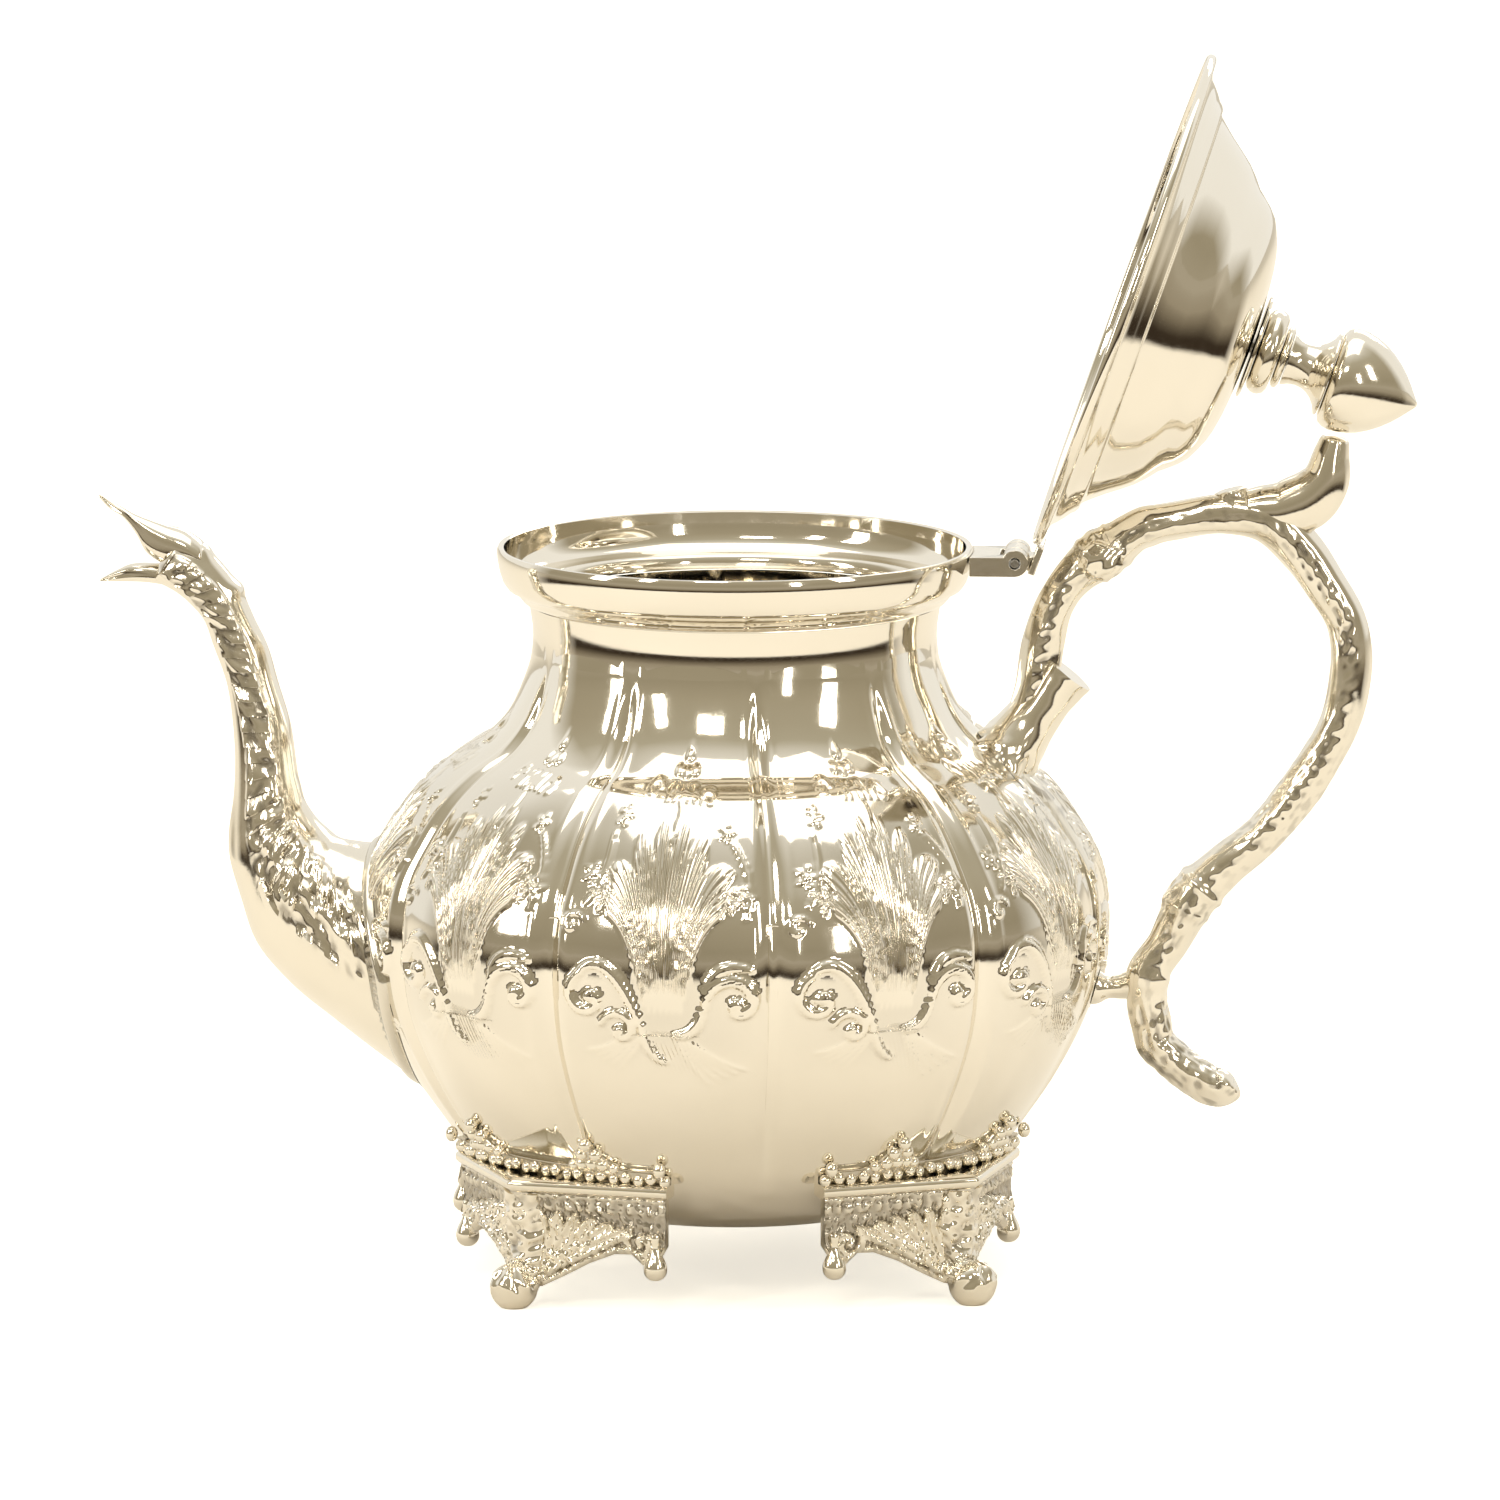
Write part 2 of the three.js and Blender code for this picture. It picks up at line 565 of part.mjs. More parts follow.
// The finial is a stack of turned pieces on a stud; each starts a seam above the last.
const turnedSegments = 20;
function turnedPiece(name, base, outline, top) {
  const outside = outline.map(([r, h]) => [r * wide, lidHeight(base + h)]);
  const bore = [[boreRadius, outside.at(-1)[1]], [boreRadius, outside[0][1]], outside[0]];
  addToLid(name, solidFrom(lathe([...outside, ...bore], turnedSegments)), silver);
  return base + top + seam;
}
const flangeBase = crown + seam;
const ringBase = turnedPiece("finial_flange", flangeBase, [[10.6, 0], [10.6, 0.4], [9.6, 0.8]], 0.8);
const collarBase = turnedPiece("finial_ring", ringBase, [
  [7.4, 0], [8.5, 0.9], [8.8, 2.1], [8.5, 3.3], [7.4, 4.2],
], 4.2);
const stemBase = turnedPiece("finial_collar", collarBase, [
  [5.6, 0], [6.45, 0.8], [5.6, 1.6],
], 1.6);
const knobBase = turnedPiece("finial_stem", stemBase, [
  [5.4, 0], [4.6, 1.6], [4.45, 3.2], [4.9, 5], [6, 6.6], [8, 7.9], [8.75, 8.4], [8.75, 8.8],
], 8.8);
const knobOutline = [
  [0.86, 0], [0.97, 0.06], [1, 0.16], [0.98, 0.3], [0.88, 0.48], [0.68, 0.68], [0.42, 0.84],
  [0.2, 0.93], [0.07, 0.985], [0, 1],
].map(([r, h]) => [r * knobRadius, lidHeight(knobBase + h * knobLength)]);
const studTop = knobBase + 6;
const socketTop = lidHeight(studTop + seam);
const knobSocket = [
  [0, socketTop], [boreRadius, socketTop], [boreRadius, knobOutline[0][1]], knobOutline[0],
];
addToLid("finial_knob", solidFrom(lathe([...knobOutline, ...knobSocket], turnedSegments)), silver);

const crownFall = 0.25;
const washerTop = crown - lidWall - crownFall - seam;
const washerBottom = washerTop - 1;
const nutTop = washerBottom - seam;
const nutBottom = nutTop - 2.6;
function plainRing(radius, low, high, segments) {
  const bore = boreRadius / Math.cos(Math.PI / segments);
  const [bottom, top] = [lidHeight(low), lidHeight(high)];
  const ring = [[radius, bottom], [radius, top], [bore, top], [bore, bottom], [radius, bottom]];
  return solidFrom(lathe(ring, segments));
}
addToLid("lid_washer", plainRing(5, washerBottom, washerTop, 20), steel);
addToLid("lid_nut", plainRing(3.4, nutBottom, nutTop, 6), steel);
addToLid("lid_stud", upright(studRadius, lidHeight(nutBottom - 1.4), lidHeight(studTop), 12), steel);

lid.position.set(hingeX, 0, hingeZ);
lid.rotation.y = openingAngle;
root.add(lid);

// ---------- thumb rest, which the knob of the open lid leans on ----------

function openPlace(x, z) {
  const place = new THREE.Vector3(x - hingeX, 0, z - hingeZ);
  place.applyAxisAngle(new THREE.Vector3(0, 1, 0), openingAngle);
  return [place.x + hingeX, place.z + hingeZ];
}
const restHeight = lidHeight(knobBase + 0.26 * knobLength);
const [contactX, contactZ] = openPlace(knobRadius + knobRestGap, restHeight);
const hornTip = [contactX + 0.6, contactZ];
const [hornX, hornZ] = [115.2 * wide, 156 * tall];
const climb = (share) => THREE.MathUtils.lerp(hornZ, hornTip[1], share);
const horn = [
  at(110, 150.5, 5.6, 4.6),
  [hornX, hornZ, 6, 4.8],
  [THREE.MathUtils.lerp(hornX, hornTip[0], 0.62), climb(0.42), 5, 4.4],
  [hornTip[0] - 0.6, climb(0.74), 3.8, 3.8],
  [hornTip[0], hornTip[1] - 0.4, 2.6, 2.8],
];
const knobZone = new THREE.SphereGeometry(knobRadius + knobRestGap, 24, 16);
const [knobX, knobZ] = openPlace(0, restHeight);
knobZone.translate(knobX, 0, knobZ);
const thumbRest = limb(horn, 12, 12)
  .subtract(grip(seam))
  .subtract(solidFrom(knobZone));
const thumbParts = thumbRest.decompose().sort((a, b) => b.volume() - a.volume());
addPiece(root, "handle_thumb_rest", thumbParts[0], silver);

// The origin is put on the floor under the middle of the teapot's box.
const box = new THREE.Box3().setFromObject(root);
root.position.set(-(box.min.x + box.max.x) / 2, -(box.min.y + box.max.y) / 2, -box.min.z);

export default root;
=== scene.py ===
import json
import math

import bmesh
import bpy
import numpy as np
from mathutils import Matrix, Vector

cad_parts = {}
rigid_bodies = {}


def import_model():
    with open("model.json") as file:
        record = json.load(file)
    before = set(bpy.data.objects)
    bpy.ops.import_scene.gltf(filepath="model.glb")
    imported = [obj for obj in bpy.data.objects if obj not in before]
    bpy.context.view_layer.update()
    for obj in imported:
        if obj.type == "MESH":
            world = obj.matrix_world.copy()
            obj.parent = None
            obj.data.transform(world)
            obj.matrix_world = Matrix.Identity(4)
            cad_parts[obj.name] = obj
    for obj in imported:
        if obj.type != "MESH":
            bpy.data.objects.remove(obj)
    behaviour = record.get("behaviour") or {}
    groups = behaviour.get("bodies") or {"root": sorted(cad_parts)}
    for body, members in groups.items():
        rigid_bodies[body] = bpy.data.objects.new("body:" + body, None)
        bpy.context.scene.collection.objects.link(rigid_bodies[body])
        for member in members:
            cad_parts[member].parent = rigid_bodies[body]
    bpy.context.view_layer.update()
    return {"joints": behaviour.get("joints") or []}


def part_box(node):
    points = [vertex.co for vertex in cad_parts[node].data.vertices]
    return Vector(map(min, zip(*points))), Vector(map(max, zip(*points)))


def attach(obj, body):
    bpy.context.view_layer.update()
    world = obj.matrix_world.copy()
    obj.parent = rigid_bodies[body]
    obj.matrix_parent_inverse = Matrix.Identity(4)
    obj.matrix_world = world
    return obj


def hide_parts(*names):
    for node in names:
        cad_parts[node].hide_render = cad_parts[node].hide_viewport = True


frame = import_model()

# The pieces are worked out in millimetres about the bowl's own axis, with the handle on +X.
# Heights are counted from a level FLOOR_DROP below the floor.
FLOOR_DROP = 1.2
AXIS_X = 500 * (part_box("bowl")[0].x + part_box("bowl")[1].x)
hinge = next(j for j in frame["joints"] if j["name"] == "lid_hinge")
HINGE_X = hinge["pos_m"][0] * 1000 - AXIS_X
HINGE_Z = hinge["pos_m"][2] * 1000 + FLOOR_DROP
OPENING = math.radians(max(hinge["range_deg"]))
BOWL_TURN = math.radians(9.3)
FOOT_TURN = math.radians(50.4)
LOBES = 10
LID_PLANE = HINGE_Z + 1.65
BOWL_RADIUS = 75
BOWL_WALL = 1.2
SHELL_SHIFT = 0.35


# ---------- shapes ----------

def smoothstep(x, low, high):
    """0 below low and 1 above high, joined by the cubic 3t^2 - 2t^3."""
    t = np.clip((x - low) / (high - low), 0, 1)
    return t * t * (3 - 2 * t)


def between(x, low, full, fade, end):
    """Rises from 0 to 1 between low and full, and falls back between fade and end."""
    return smoothstep(x, low, full) * (1 - smoothstep(x, fade, end))


def bump(x, middle, width):
    """A bell: e to the minus the square of the distance from the middle over the width."""
    return np.exp(-(((x - middle) / width) ** 2))


def dome(x):
    """A half circle: 1 at 0, and 0 from 1 outwards."""
    return np.sqrt(np.clip(1 - x**2, 0, 1))


def run_length(points, weight=1.0):
    """Distance from the first point along a flat line of points, each step times its weight."""
    return np.concatenate([[0], np.cumsum(weight * np.hypot(*np.diff(points[:, :2], axis=0).T))])


def round_axis(radius, angle, height):
    """Points from their radius, their angle round the upright axis from -Y, and their height."""
    x, y = radius * np.sin(angle), -radius * np.cos(angle)
    return np.stack(np.broadcast_arrays(x, y, height), -1)


def full_turn(columns):
    """Evenly spaced angles once round, as a row."""
    return (np.arange(columns) / columns * 2 * math.pi)[None, :]


def resample(points, count):
    """Points spaced evenly by length along a smooth curve through the given ones."""
    points = np.asarray(points, float)
    steps = np.linalg.norm(np.diff(points[:, :2], axis=0), axis=1)
    place = np.concatenate([[0], np.cumsum(steps)])
    slopes = np.gradient(points, place, axis=0)
    t = np.linspace(0, place[-1], count)
    k = np.clip(np.searchsorted(place, t, side="right") - 1, 0, len(place) - 2)
    span = (place[k + 1] - place[k])[:, None]
    u = ((t - place[k])[:, None]) / span
    a, b = points[k], points[k + 1]
    sa, sb = slopes[k] * span, slopes[k + 1] * span
    return ((2 * u**3 - 3 * u**2 + 1) * a + (u**3 - 2 * u**2 + u) * sa
            + (3 * u**2 - 2 * u**3) * b + (u**3 - u**2) * sb)


def grid_faces(rows, columns, close_rows=False, close_columns=True):
    """Four-cornered faces between neighbouring rows and columns of a grid of points."""
    r = np.arange(rows if close_rows else rows - 1)
    c = np.arange(columns if close_columns else columns - 1)
    r, c = np.meshgrid(r, c, indexing="ij")
    r2, c2 = (r + 1) % rows, (c + 1) % columns
    quads = np.stack([r * columns + c, r * columns + c2, r2 * columns + c2, r2 * columns + c], -1)
    return quads.reshape(-1, 4)


def tube_part(points, recess=None, caps=True):
    """A closed skin from a grid whose columns run round and whose rows run along, with a fan of
    triangles from the middle of the first and last row where caps is true, and otherwise with
    the last row joined back to the first."""
    rows, columns, _ = points.shape
    flat = points.reshape(-1, 3)
    shade = np.zeros(len(flat)) if recess is None else np.asarray(recess, float).reshape(-1)
    quads = grid_faces(rows, columns, close_rows=not caps)
    if not caps:
        return flat, [quads], shade
    ends = np.array([points[0].mean(axis=0), points[-1].mean(axis=0)])
    first, last = len(flat), len(flat) + 1
    k = np.arange(columns)
    k2 = (k + 1) % columns
    base = (rows - 1) * columns
    fans = np.concatenate([
        np.stack([np.full(columns, first), k2, k], -1),
        np.stack([np.full(columns, last), base + k, base + k2], -1)])
    shade = np.concatenate([shade, [shade[0], shade[-1]]])
    return np.concatenate([flat, ends]), [quads, fans], shade


def enclosed(points, faces):
    """Six times the volume inside, positive when the faces point outwards."""
    total = 0.0
    for group in faces:
        corner = points[group[:, 0]]
        for k in range(1, group.shape[1] - 1):
            a, b = points[group[:, k]], points[group[:, k + 1]]
            total += np.einsum("ij,ij->i", corner, np.cross(a, b)).sum()
    return total


def open_lid(points):
    """Points of the closed lid turned about the hinge pin to where the open lid stands."""
    moved = points.copy()
    x, z = points[:, 0] - HINGE_X, points[:, 2] - HINGE_Z
    moved[:, 0] = x * math.cos(OPENING) + z * math.sin(OPENING) + HINGE_X
    moved[:, 2] = z * math.cos(OPENING) - x * math.sin(OPENING) + HINGE_Z
    return moved


def settle(name, mesh, body, finish, nodes, crease):
    """An object of a mesh, shaded smooth but for edges sharper than the crease, that rides on a
    body and stands for the nodes."""
    mesh.shade_smooth()
    mesh.set_sharp_from_angle(angle=math.radians(crease))
    slot, material = finish
    mesh.materials.append(material)
    piece = bpy.data.objects.new(name, mesh)
    bpy.context.scene.collection.objects.link(piece)
    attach(piece, body)
    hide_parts(*nodes)
    return piece


def make_piece(name, parts, body, finish, nodes, crease=50, fields=None):
    """One object from closed skins, in metres in the teapot's own frame. Each skin has points,
    faces and the share of painted shade at its points, and fields holds further values of the
    points."""
    all_points, all_shades, loops, sizes = [], [], [], []
    offset = 0
    for points, faces, shade in parts:
        if enclosed(points, faces) < 0:
            faces = [group[:, ::-1] for group in faces]
        all_points.append(open_lid(points) if body == "lid" else points)
        all_shades.append(shade)
        for group in faces:
            loops.append((group + offset).reshape(-1))
            sizes.append(np.full(len(group), group.shape[1]))
        offset += len(points)
    points = (np.concatenate(all_points) + [AXIS_X, 0, -FLOOR_DROP]) / 1000
    loops, sizes = np.concatenate(loops), np.concatenate(sizes)
    mesh = bpy.data.meshes.new(name)
    mesh.vertices.add(len(points))
    mesh.vertices.foreach_set("co", points.astype(np.float32).reshape(-1))
    mesh.loops.add(len(loops))
    mesh.loops.foreach_set("vertex_index", loops.astype(np.int32))
    mesh.polygons.add(len(sizes))
    starts = np.concatenate([[0], np.cumsum(sizes)[:-1]])
    mesh.polygons.foreach_set("loop_start", starts.astype(np.int32))
    mesh.update(calc_edges=True)
    mesh.validate()
    for label, values in {"recess": np.concatenate(all_shades), **(fields or {})}.items():
        field = mesh.attributes.new(label, "FLOAT", "POINT")
        field.data.foreach_set("value", values.astype(np.float32))
    settle(name, mesh, body, finish, nodes, crease)


def turned(outline, columns, rows=None, detail=None):
    """A turned skin: the outline of radius and height carried round the axis, after it is
    resampled to rows, plus a detail of the angle and height. An outline that ends on the axis
    closes there, and any other closes on itself."""
    outline = np.asarray(outline, float)
    on_axis = outline[0, 0] < 1e-6 and outline[-1, 0] < 1e-6
    if rows:
        outline = resample(outline, rows)
    if on_axis:
        outline = outline[1:-1]
    angle = full_turn(columns)
    radius, height = outline[:, :1], outline[:, 1:]
    if detail:
        radius = radius + detail(angle, height)
    return tube_part(round_axis(radius, angle, height), caps=on_axis)


# ---------- materials ----------

def colour(hexadecimal):
    """An sRGB hex value as linear red, green, blue and alpha."""
    parts = [int(hexadecimal[k:k + 2], 16) / 255 for k in (1, 3, 5)]
    return [c / 12.92 if c <= 0.04045 else ((c + 0.055) / 1.055) ** 2.4 for c in parts] + [1.0]


def add_node(tree, kind, links=None, values=None, stops=(), **settings):
    """A shader node with its settings, its values, a colour ramp's stops, each a place and a
    hex colour, and its links, each from a socket or from a node's first output."""
    node = tree.nodes.new("ShaderNode" + kind)
    for key, value in settings.items():
        setattr(node, key, value)
    for key, value in (values or {}).items():
        node.inputs[key].default_value = value
    for key, source in (links or {}).items():
        tree.links.new(getattr(source, "outputs", [source])[0], node.inputs[key])
    if stops:
        elements = node.color_ramp.elements
        while len(elements) < len(stops):
            elements.new(0.5)
        for element, (place, tint) in zip(elements, stops):
            element.position = place
            element.color = colour(tint)
    return node


CLOUD_MM = 38
GRAIN_DEPTH_MM = 0.1
HATCH_DEPTH_MM = 0.13
# Colour of the painted shade that darkens the recesses.
PAINTED_SHADE_TINT = "#574a38"


def silver(name, slot, light, dark, smooth, rough, grain_mm, scratch, hatched=False):
    """A slot and its material, plated silver: two tones of one warm metal in soft patches,
    with painted shade darkening the recesses, a fine rubbed grain in the gloss and the surface,
    and cut lines where the piece has them."""
    material = bpy.data.materials.new(name)
    material.use_nodes = True
    tree = material.node_tree
    shader = tree.nodes["Principled BSDF"]
    shader.inputs["Metallic"].default_value = 1.0
    place = add_node(tree, "TexCoord").outputs["Object"]
    patches = add_node(tree, "TexNoise", {"Vector": place},
                       {"Scale": 1000 / CLOUD_MM, "Detail": 3.0, "Roughness": 0.6})
    grain = add_node(tree, "TexNoise", {"Vector": place},
                     {"Scale": 1000 / grain_mm, "Detail": 4.0, "Roughness": 0.7})
    recess = add_node(tree, "Attribute", attribute_name="recess").outputs["Fac"]
    tone = add_node(tree, "Mix", {"Factor": patches},
                    {6: colour(light), 7: colour(dark)}, data_type="RGBA")
    # Painted shade: the base colour runs towards a dark brown as the recess field rises.
    painted_shade_mix = add_node(tree, "Mix", {"Factor": recess, 6: tone.outputs[2]},
                      {7: colour(PAINTED_SHADE_TINT)}, data_type="RGBA")
    tree.links.new(painted_shade_mix.outputs[2], shader.inputs["Base Color"])
    gloss = add_node(tree, "MapRange", {"Value": grain},
                     {"From Min": 0.3, "From Max": 0.7, "To Min": smooth, "To Max": rough})
    dulled = add_node(tree, "Math", {0: recess, 2: gloss},
                      {1: 0.25}, operation="MULTIPLY_ADD")
    tree.links.new(dulled.outputs[0], shader.inputs["Roughness"])
    relief = add_node(tree, "Bump", {"Height": grain},
                      {"Strength": scratch, "Distance": GRAIN_DEPTH_MM / 1000})
    if hatched:
        across, depth = (add_node(tree, "Attribute", attribute_name=name).outputs["Fac"]
                         for name in ("hatch_across", "hatch_depth"))
        turns = add_node(tree, "Math", {0: across}, {1: 2 * math.pi}, operation="MULTIPLY")
        wave = add_node(tree, "Math", {0: turns}, operation="SINE")
        cut = add_node(tree, "Math", {0: wave, 1: depth}, operation="MULTIPLY")
        relief = add_node(tree, "Bump", {"Height": cut, "Normal": relief},
                          {"Strength": 1.0, "Distance": HATCH_DEPTH_MM / 1000})
    tree.links.new(relief.outputs["Normal"], shader.inputs["Normal"])
    return slot, material


SILVER_TONES = ("#f4efe5", "#ebe5d8")
# Raised silver plate, buffed with rouge: near mirror, warm, with soft cloudy wear.
polished_silver = silver("polished_silver", "polished_silver", *SILVER_TONES, 0.04, 0.085, 2.5,
                         0.04)
# The same plate with leaves chased into it and hatched with a graver, which glitter.
chased_silver = silver("chased_silver", "polished_silver", *SILVER_TONES, 0.04, 0.085, 2.5, 0.04,
                       hatched=True)
# Cast and chased silver: the same metal, a little less flat, with painted shade in the cuts.
cast_silver = silver("cast_silver", "cast_silver", "#f3eee3", "#e6dfd0", 0.07, 0.14, 1.6, 0.12)
# Silver plate that the cloth doesn't reach: greyer and softer.
dull_silver = silver("dull_silver", "dull_silver", "#e9e4d9", "#d9d3c6", 0.12, 0.22, 1.2, 0.2)
# Turned steel of the pin and the stud: grey, with fine tool marks.
plain_steel = silver("turned_steel", "steel", "#aeaba6", "#98948e", 0.22, 0.36, 0.6, 0.3)


# ---------- bowl ----------

BOWL_OUTLINE = np.array([
    [34, 14.6], [46, 19], [54.5, 25.9], [60.8, 34], [66.4, 42.2], [70.6, 50.3], [73.6, 58.5],
    [75, 68], [74.6, 78.9], [73, 84.4], [69.3, 91.1], [63.6, 99], [57.6, 104.4], [50.4, 109],
    [46, 113.8], [43.2, 119.6], [41.4, 125], [41, 130], [41.8, 136]])
SMOOTH_OUTLINE = resample(BOWL_OUTLINE, 400)
PANEL_HALF = math.pi / LOBES


def bowl_radius(height):
    """The radius of the bowl's round outline at a height."""
    return np.interp(height, SMOOTH_OUTLINE[:, 1], SMOOTH_OUTLINE[:, 0])


def stroke(s, z, path, width, rise, taper=0.25, hollow=0.0):
    """Raised line along a path: the nearer a point is to the path the higher it stands, with a
    round section, narrowing towards both ends. A hollow line has a groove along its middle."""
    path = np.asarray(path, float)
    best = np.full(s.shape, 1e9)
    place = np.zeros(s.shape)
    steps = len(path) - 1
    for k in range(steps):
        (s0, z0), (s1, z1) = path[k], path[k + 1]
        ds, dz = s1 - s0, z1 - z0
        t = np.clip(((s - s0) * ds + (z - z0) * dz) / (ds * ds + dz * dz + 1e-9), 0, 1)
        gap = np.hypot(s - s0 - t * ds, z - z0 - t * dz)
        nearer = gap < best
        best = np.where(nearer, gap, best)
        place = np.where(nearer, (k + t) / steps, place)
    ends = taper + (1 - taper) * np.sqrt(np.clip(4 * place * (1 - place), 0, 1))
    across = best / (width * ends)
    return rise * (dome(across) - hollow * np.clip(1 - (2.2 * across) ** 2, 0, 1))


def strokes(s, z, lines):
    """The highest of several raised lines, each a path and the sizes of its stroke."""
    return np.maximum.reduce([stroke(s, z, *line) for line in lines])


def arc_path(start, control, end, count=12):
    """A bent line: the parabola that leaves the start towards the control point and ends on
    the end point."""
    t = np.linspace(0, 1, count)[:, None]
    start, control, end = (np.asarray(p, float) for p in (start, control, end))
    return (1 - t) ** 2 * start + 2 * t * (1 - t) * control + t**2 * end


def scroll_path(centre, radius, turns, start_angle, spin, count=36):
    """A volute: the distance from its centre grows evenly as the angle turns."""
    t = np.linspace(0.06, 1, count)
    angle = start_angle + spin * (1 - t) * turns * 2 * math.pi
    return np.stack([centre[0] + radius * t * np.cos(angle),
                     centre[1] + radius * t * np.sin(angle)], -1)


def crease_share(height):
    """How much of the creases' depth there is at a height: none at the neck and the base."""
    return between(height, 24, 42, 112, 127)


def lobe_sink(across, height):
    """How far the metal lies inside the round outline: across is -1 and 1 at the creases of a
    lobe and 0 in its middle. It falls off as a power of across, with a narrow valley at the
    crease and a faint roll beside it, and dies out towards neck and base."""
    swell = between(height, 26, 48, 104, 126)
    valley = crease_share(height)
    from_crease = (1 - np.abs(across)) * PANEL_HALF
    return 0.45 + 1.15 * swell * np.abs(across) ** 2.6 + valley * (
        1.25 * bump(from_crease, 0, math.radians(1.25))
        - 0.28 * bump(from_crease, math.radians(3.1), math.radians(1.0)))


def bowl_reach(turn, height):
    """The bowl's real radius at an angle round the pot and a height."""
    place = (turn - BOWL_TURN) / (2 * PANEL_HALF)
    across = (place - np.floor(place)) * 2 - 1
    return bowl_radius(height) - lobe_sink(across, height)


def fan_leaf(s, z):
    """The wide leaf of a panel as a bundle of curved ribs from one root: t is -1 to 1 from the
    left rib to the right one, and u is 0 at the root and 1 at the tip of a rib. Each rib is a
    parabola, so u is the root of a quadratic in the height and t then follows from the width."""
    t = np.clip((s - 1.5) / 19, -1.3, 1.3)
    for _ in range(5):
        bend = 14 + 17 * np.minimum(t * t, 1.3)
        u = (56 - np.sqrt(np.clip(56**2 - 4 * bend * (z - 60), 0, None))) / (2 * bend)
        u = np.clip(u, 0.02, 1.2)
        middle = 1.5 * (1 - u) ** 2 + 2 * u * (1 - u) + 1.5 * u * u
        spread = 3.5 * (1 - u) ** 2 + 10 * u * (1 - u) + 18.5 * u * u
        t = 0.5 * t + 0.5 * np.clip((s - middle) / spread, -1.5, 1.5)
    return t, u


# The ornament of one lobe, in mm across it and in height. A bent line is its start, control
# and end point, and a scroll is its centre, radius, first angle and direction.
SEED_HEAD = ((0, 3.0), (-2.4, 0.4), (2.4, 0.4), (0, 0))
VOLUTES = (((-14.2, 68.0), 5.0, 1.9, 1, 1.15), ((-7.6, 61.6), 4.2, 2.9, -1, 1.05),
           ((16.0, 67.2), 6.4, 3.3, -1, 1.35))
STEMS = (((-16.4, 72.8), (-9.5, 79.5), (-3, 62), 1.25), ((-3.4, 62.5), (-2.5, 57), (1.5, 55), 1.0),
         ((9.8, 68.5), (11, 76.5), (19, 74.2), 1.2), ((9.9, 68), (8.6, 60), (3.4, 61), 1.2))
FLOWERS = ((-11.5, 102.0, 2.2), (-15.8, 91.5, 2.5), (17.6, 88.0, 3.0), (13.8, 99.5, 1.9))
TENDRILS = (((-18.4, 82.0), 2.6, 0.4, 1), ((9.0, 105.0), 2.2, 3.4, -1),
            ((-6.5, 106.5), 2.0, 0.2, 1))
STALKS = (((-16.0, 86.0), (-12, 91), (-13, 99)), ((18.0, 83.5), (21, 92), (15, 98)),
          ((0.2, 97), (3.5, 102), (1.6, 105)))


def panel_lines():
    """Every raised line of the ornament: the bars under the seed head, the volutes and the
    stems over them, the tendrils and stalks, and the fine lines that trail below the root."""
    lines = [([(1.6 + 1.8 * k, 104.6), (1.6 + 1.5 * k, 107.6)], 0.75, 0.6) for k in range(-2, 3)]
    lines += [(scroll_path(centre, size, 1.05, start, spin), wide, 1.25, 0.6, 0.25)
              for centre, size, start, spin, wide in VOLUTES]
    lines += [(arc_path(*bend), wide, 1.0, 0.4, 0.2) for *bend, wide in STEMS]
    lines += [(scroll_path(centre, size, 1.0, start, spin), 0.6, 0.5, 0.6)
              for centre, size, start, spin in TENDRILS]
    lines += [(arc_path(*bend), 0.75, 0.55) for bend in STALKS]
    for k in range(5):
        right = arc_path((3 + k, 62 - 0.6 * k), (6 + 1.6 * k, 55), (11 + 1.8 * k, 50 + 0.9 * k))
        left = arc_path((-2 - k, 61.5), (-5 - 1.3 * k, 57), (-9 - 1.5 * k, 53 + k))
        lines += [(right, 0.5, 0.32), (left, 0.5, 0.25)]
    return lines


def chased_panel(s, z):
    """The chased ornament of one lobe: height in mm over the plain metal, the share of painted
    shade on the plain ground about the ornament, and the place across and the depth of fine
    hatching. It is the highest of a ribbed leaf, domes for berries and flowers, and the raised
    lines. s runs across the lobe and z up it, in mm."""
    t, u = fan_leaf(s, z)
    lobes = np.abs(np.sin(3.5 * math.pi * t))
    tip = 0.8 + 0.2 * lobes
    leaf = (smoothstep(u, 0.06, 0.24) * (1 - smoothstep(u, tip - 0.08, tip + 0.02))
            * (1 - smoothstep(np.abs(t), 0.93, 1.03)) * smoothstep(z, 60, 66))
    marks = [leaf * (0.3 + 0.45 * lobes ** 0.7 + 0.25 * np.abs(np.cos(10 * math.pi * t))),
             strokes(s, z, panel_lines())]
    for ds, dz in SEED_HEAD:
        marks.append(0.9 * dome(np.hypot((s - 1.6 - ds) / 1.35, (z - 109.4 - dz) / 1.2)))
    for centre, size, *_ in VOLUTES:
        marks.append(1.2 * dome(np.hypot(s - centre[0], z - centre[1]) / (0.27 * size)))
    for cs, cz, size in FLOWERS:
        gap = np.hypot(s - cs, z - cz)
        petals = size * (0.72 + 0.28 * np.cos(5 * np.arctan2(z - cz, s - cs)))
        marks.append(0.9 * dome(gap / petals) - 0.5 * bump(gap, 0.36 * size, 0.14 * size))
    rise = np.maximum.reduce(marks)
    inside = smoothstep(rise, 0.02, 0.2)
    near = bump(s, 0, 19) * between(z, 52, 62, 100, 112)
    slant = s - 1.5 - 0.35 * (62 - z)
    tail = bump(slant, 0, 5) * between(z, 50, 54, 58, 64)
    hatch_across = np.where(z > 61, 17 * t, slant / 0.9)
    hatch_depth = leaf * smoothstep(u, 0.1, 0.3) + 0.6 * tail
    return rise, near * (1 - inside) * 0.12, hatch_across, hatch_depth


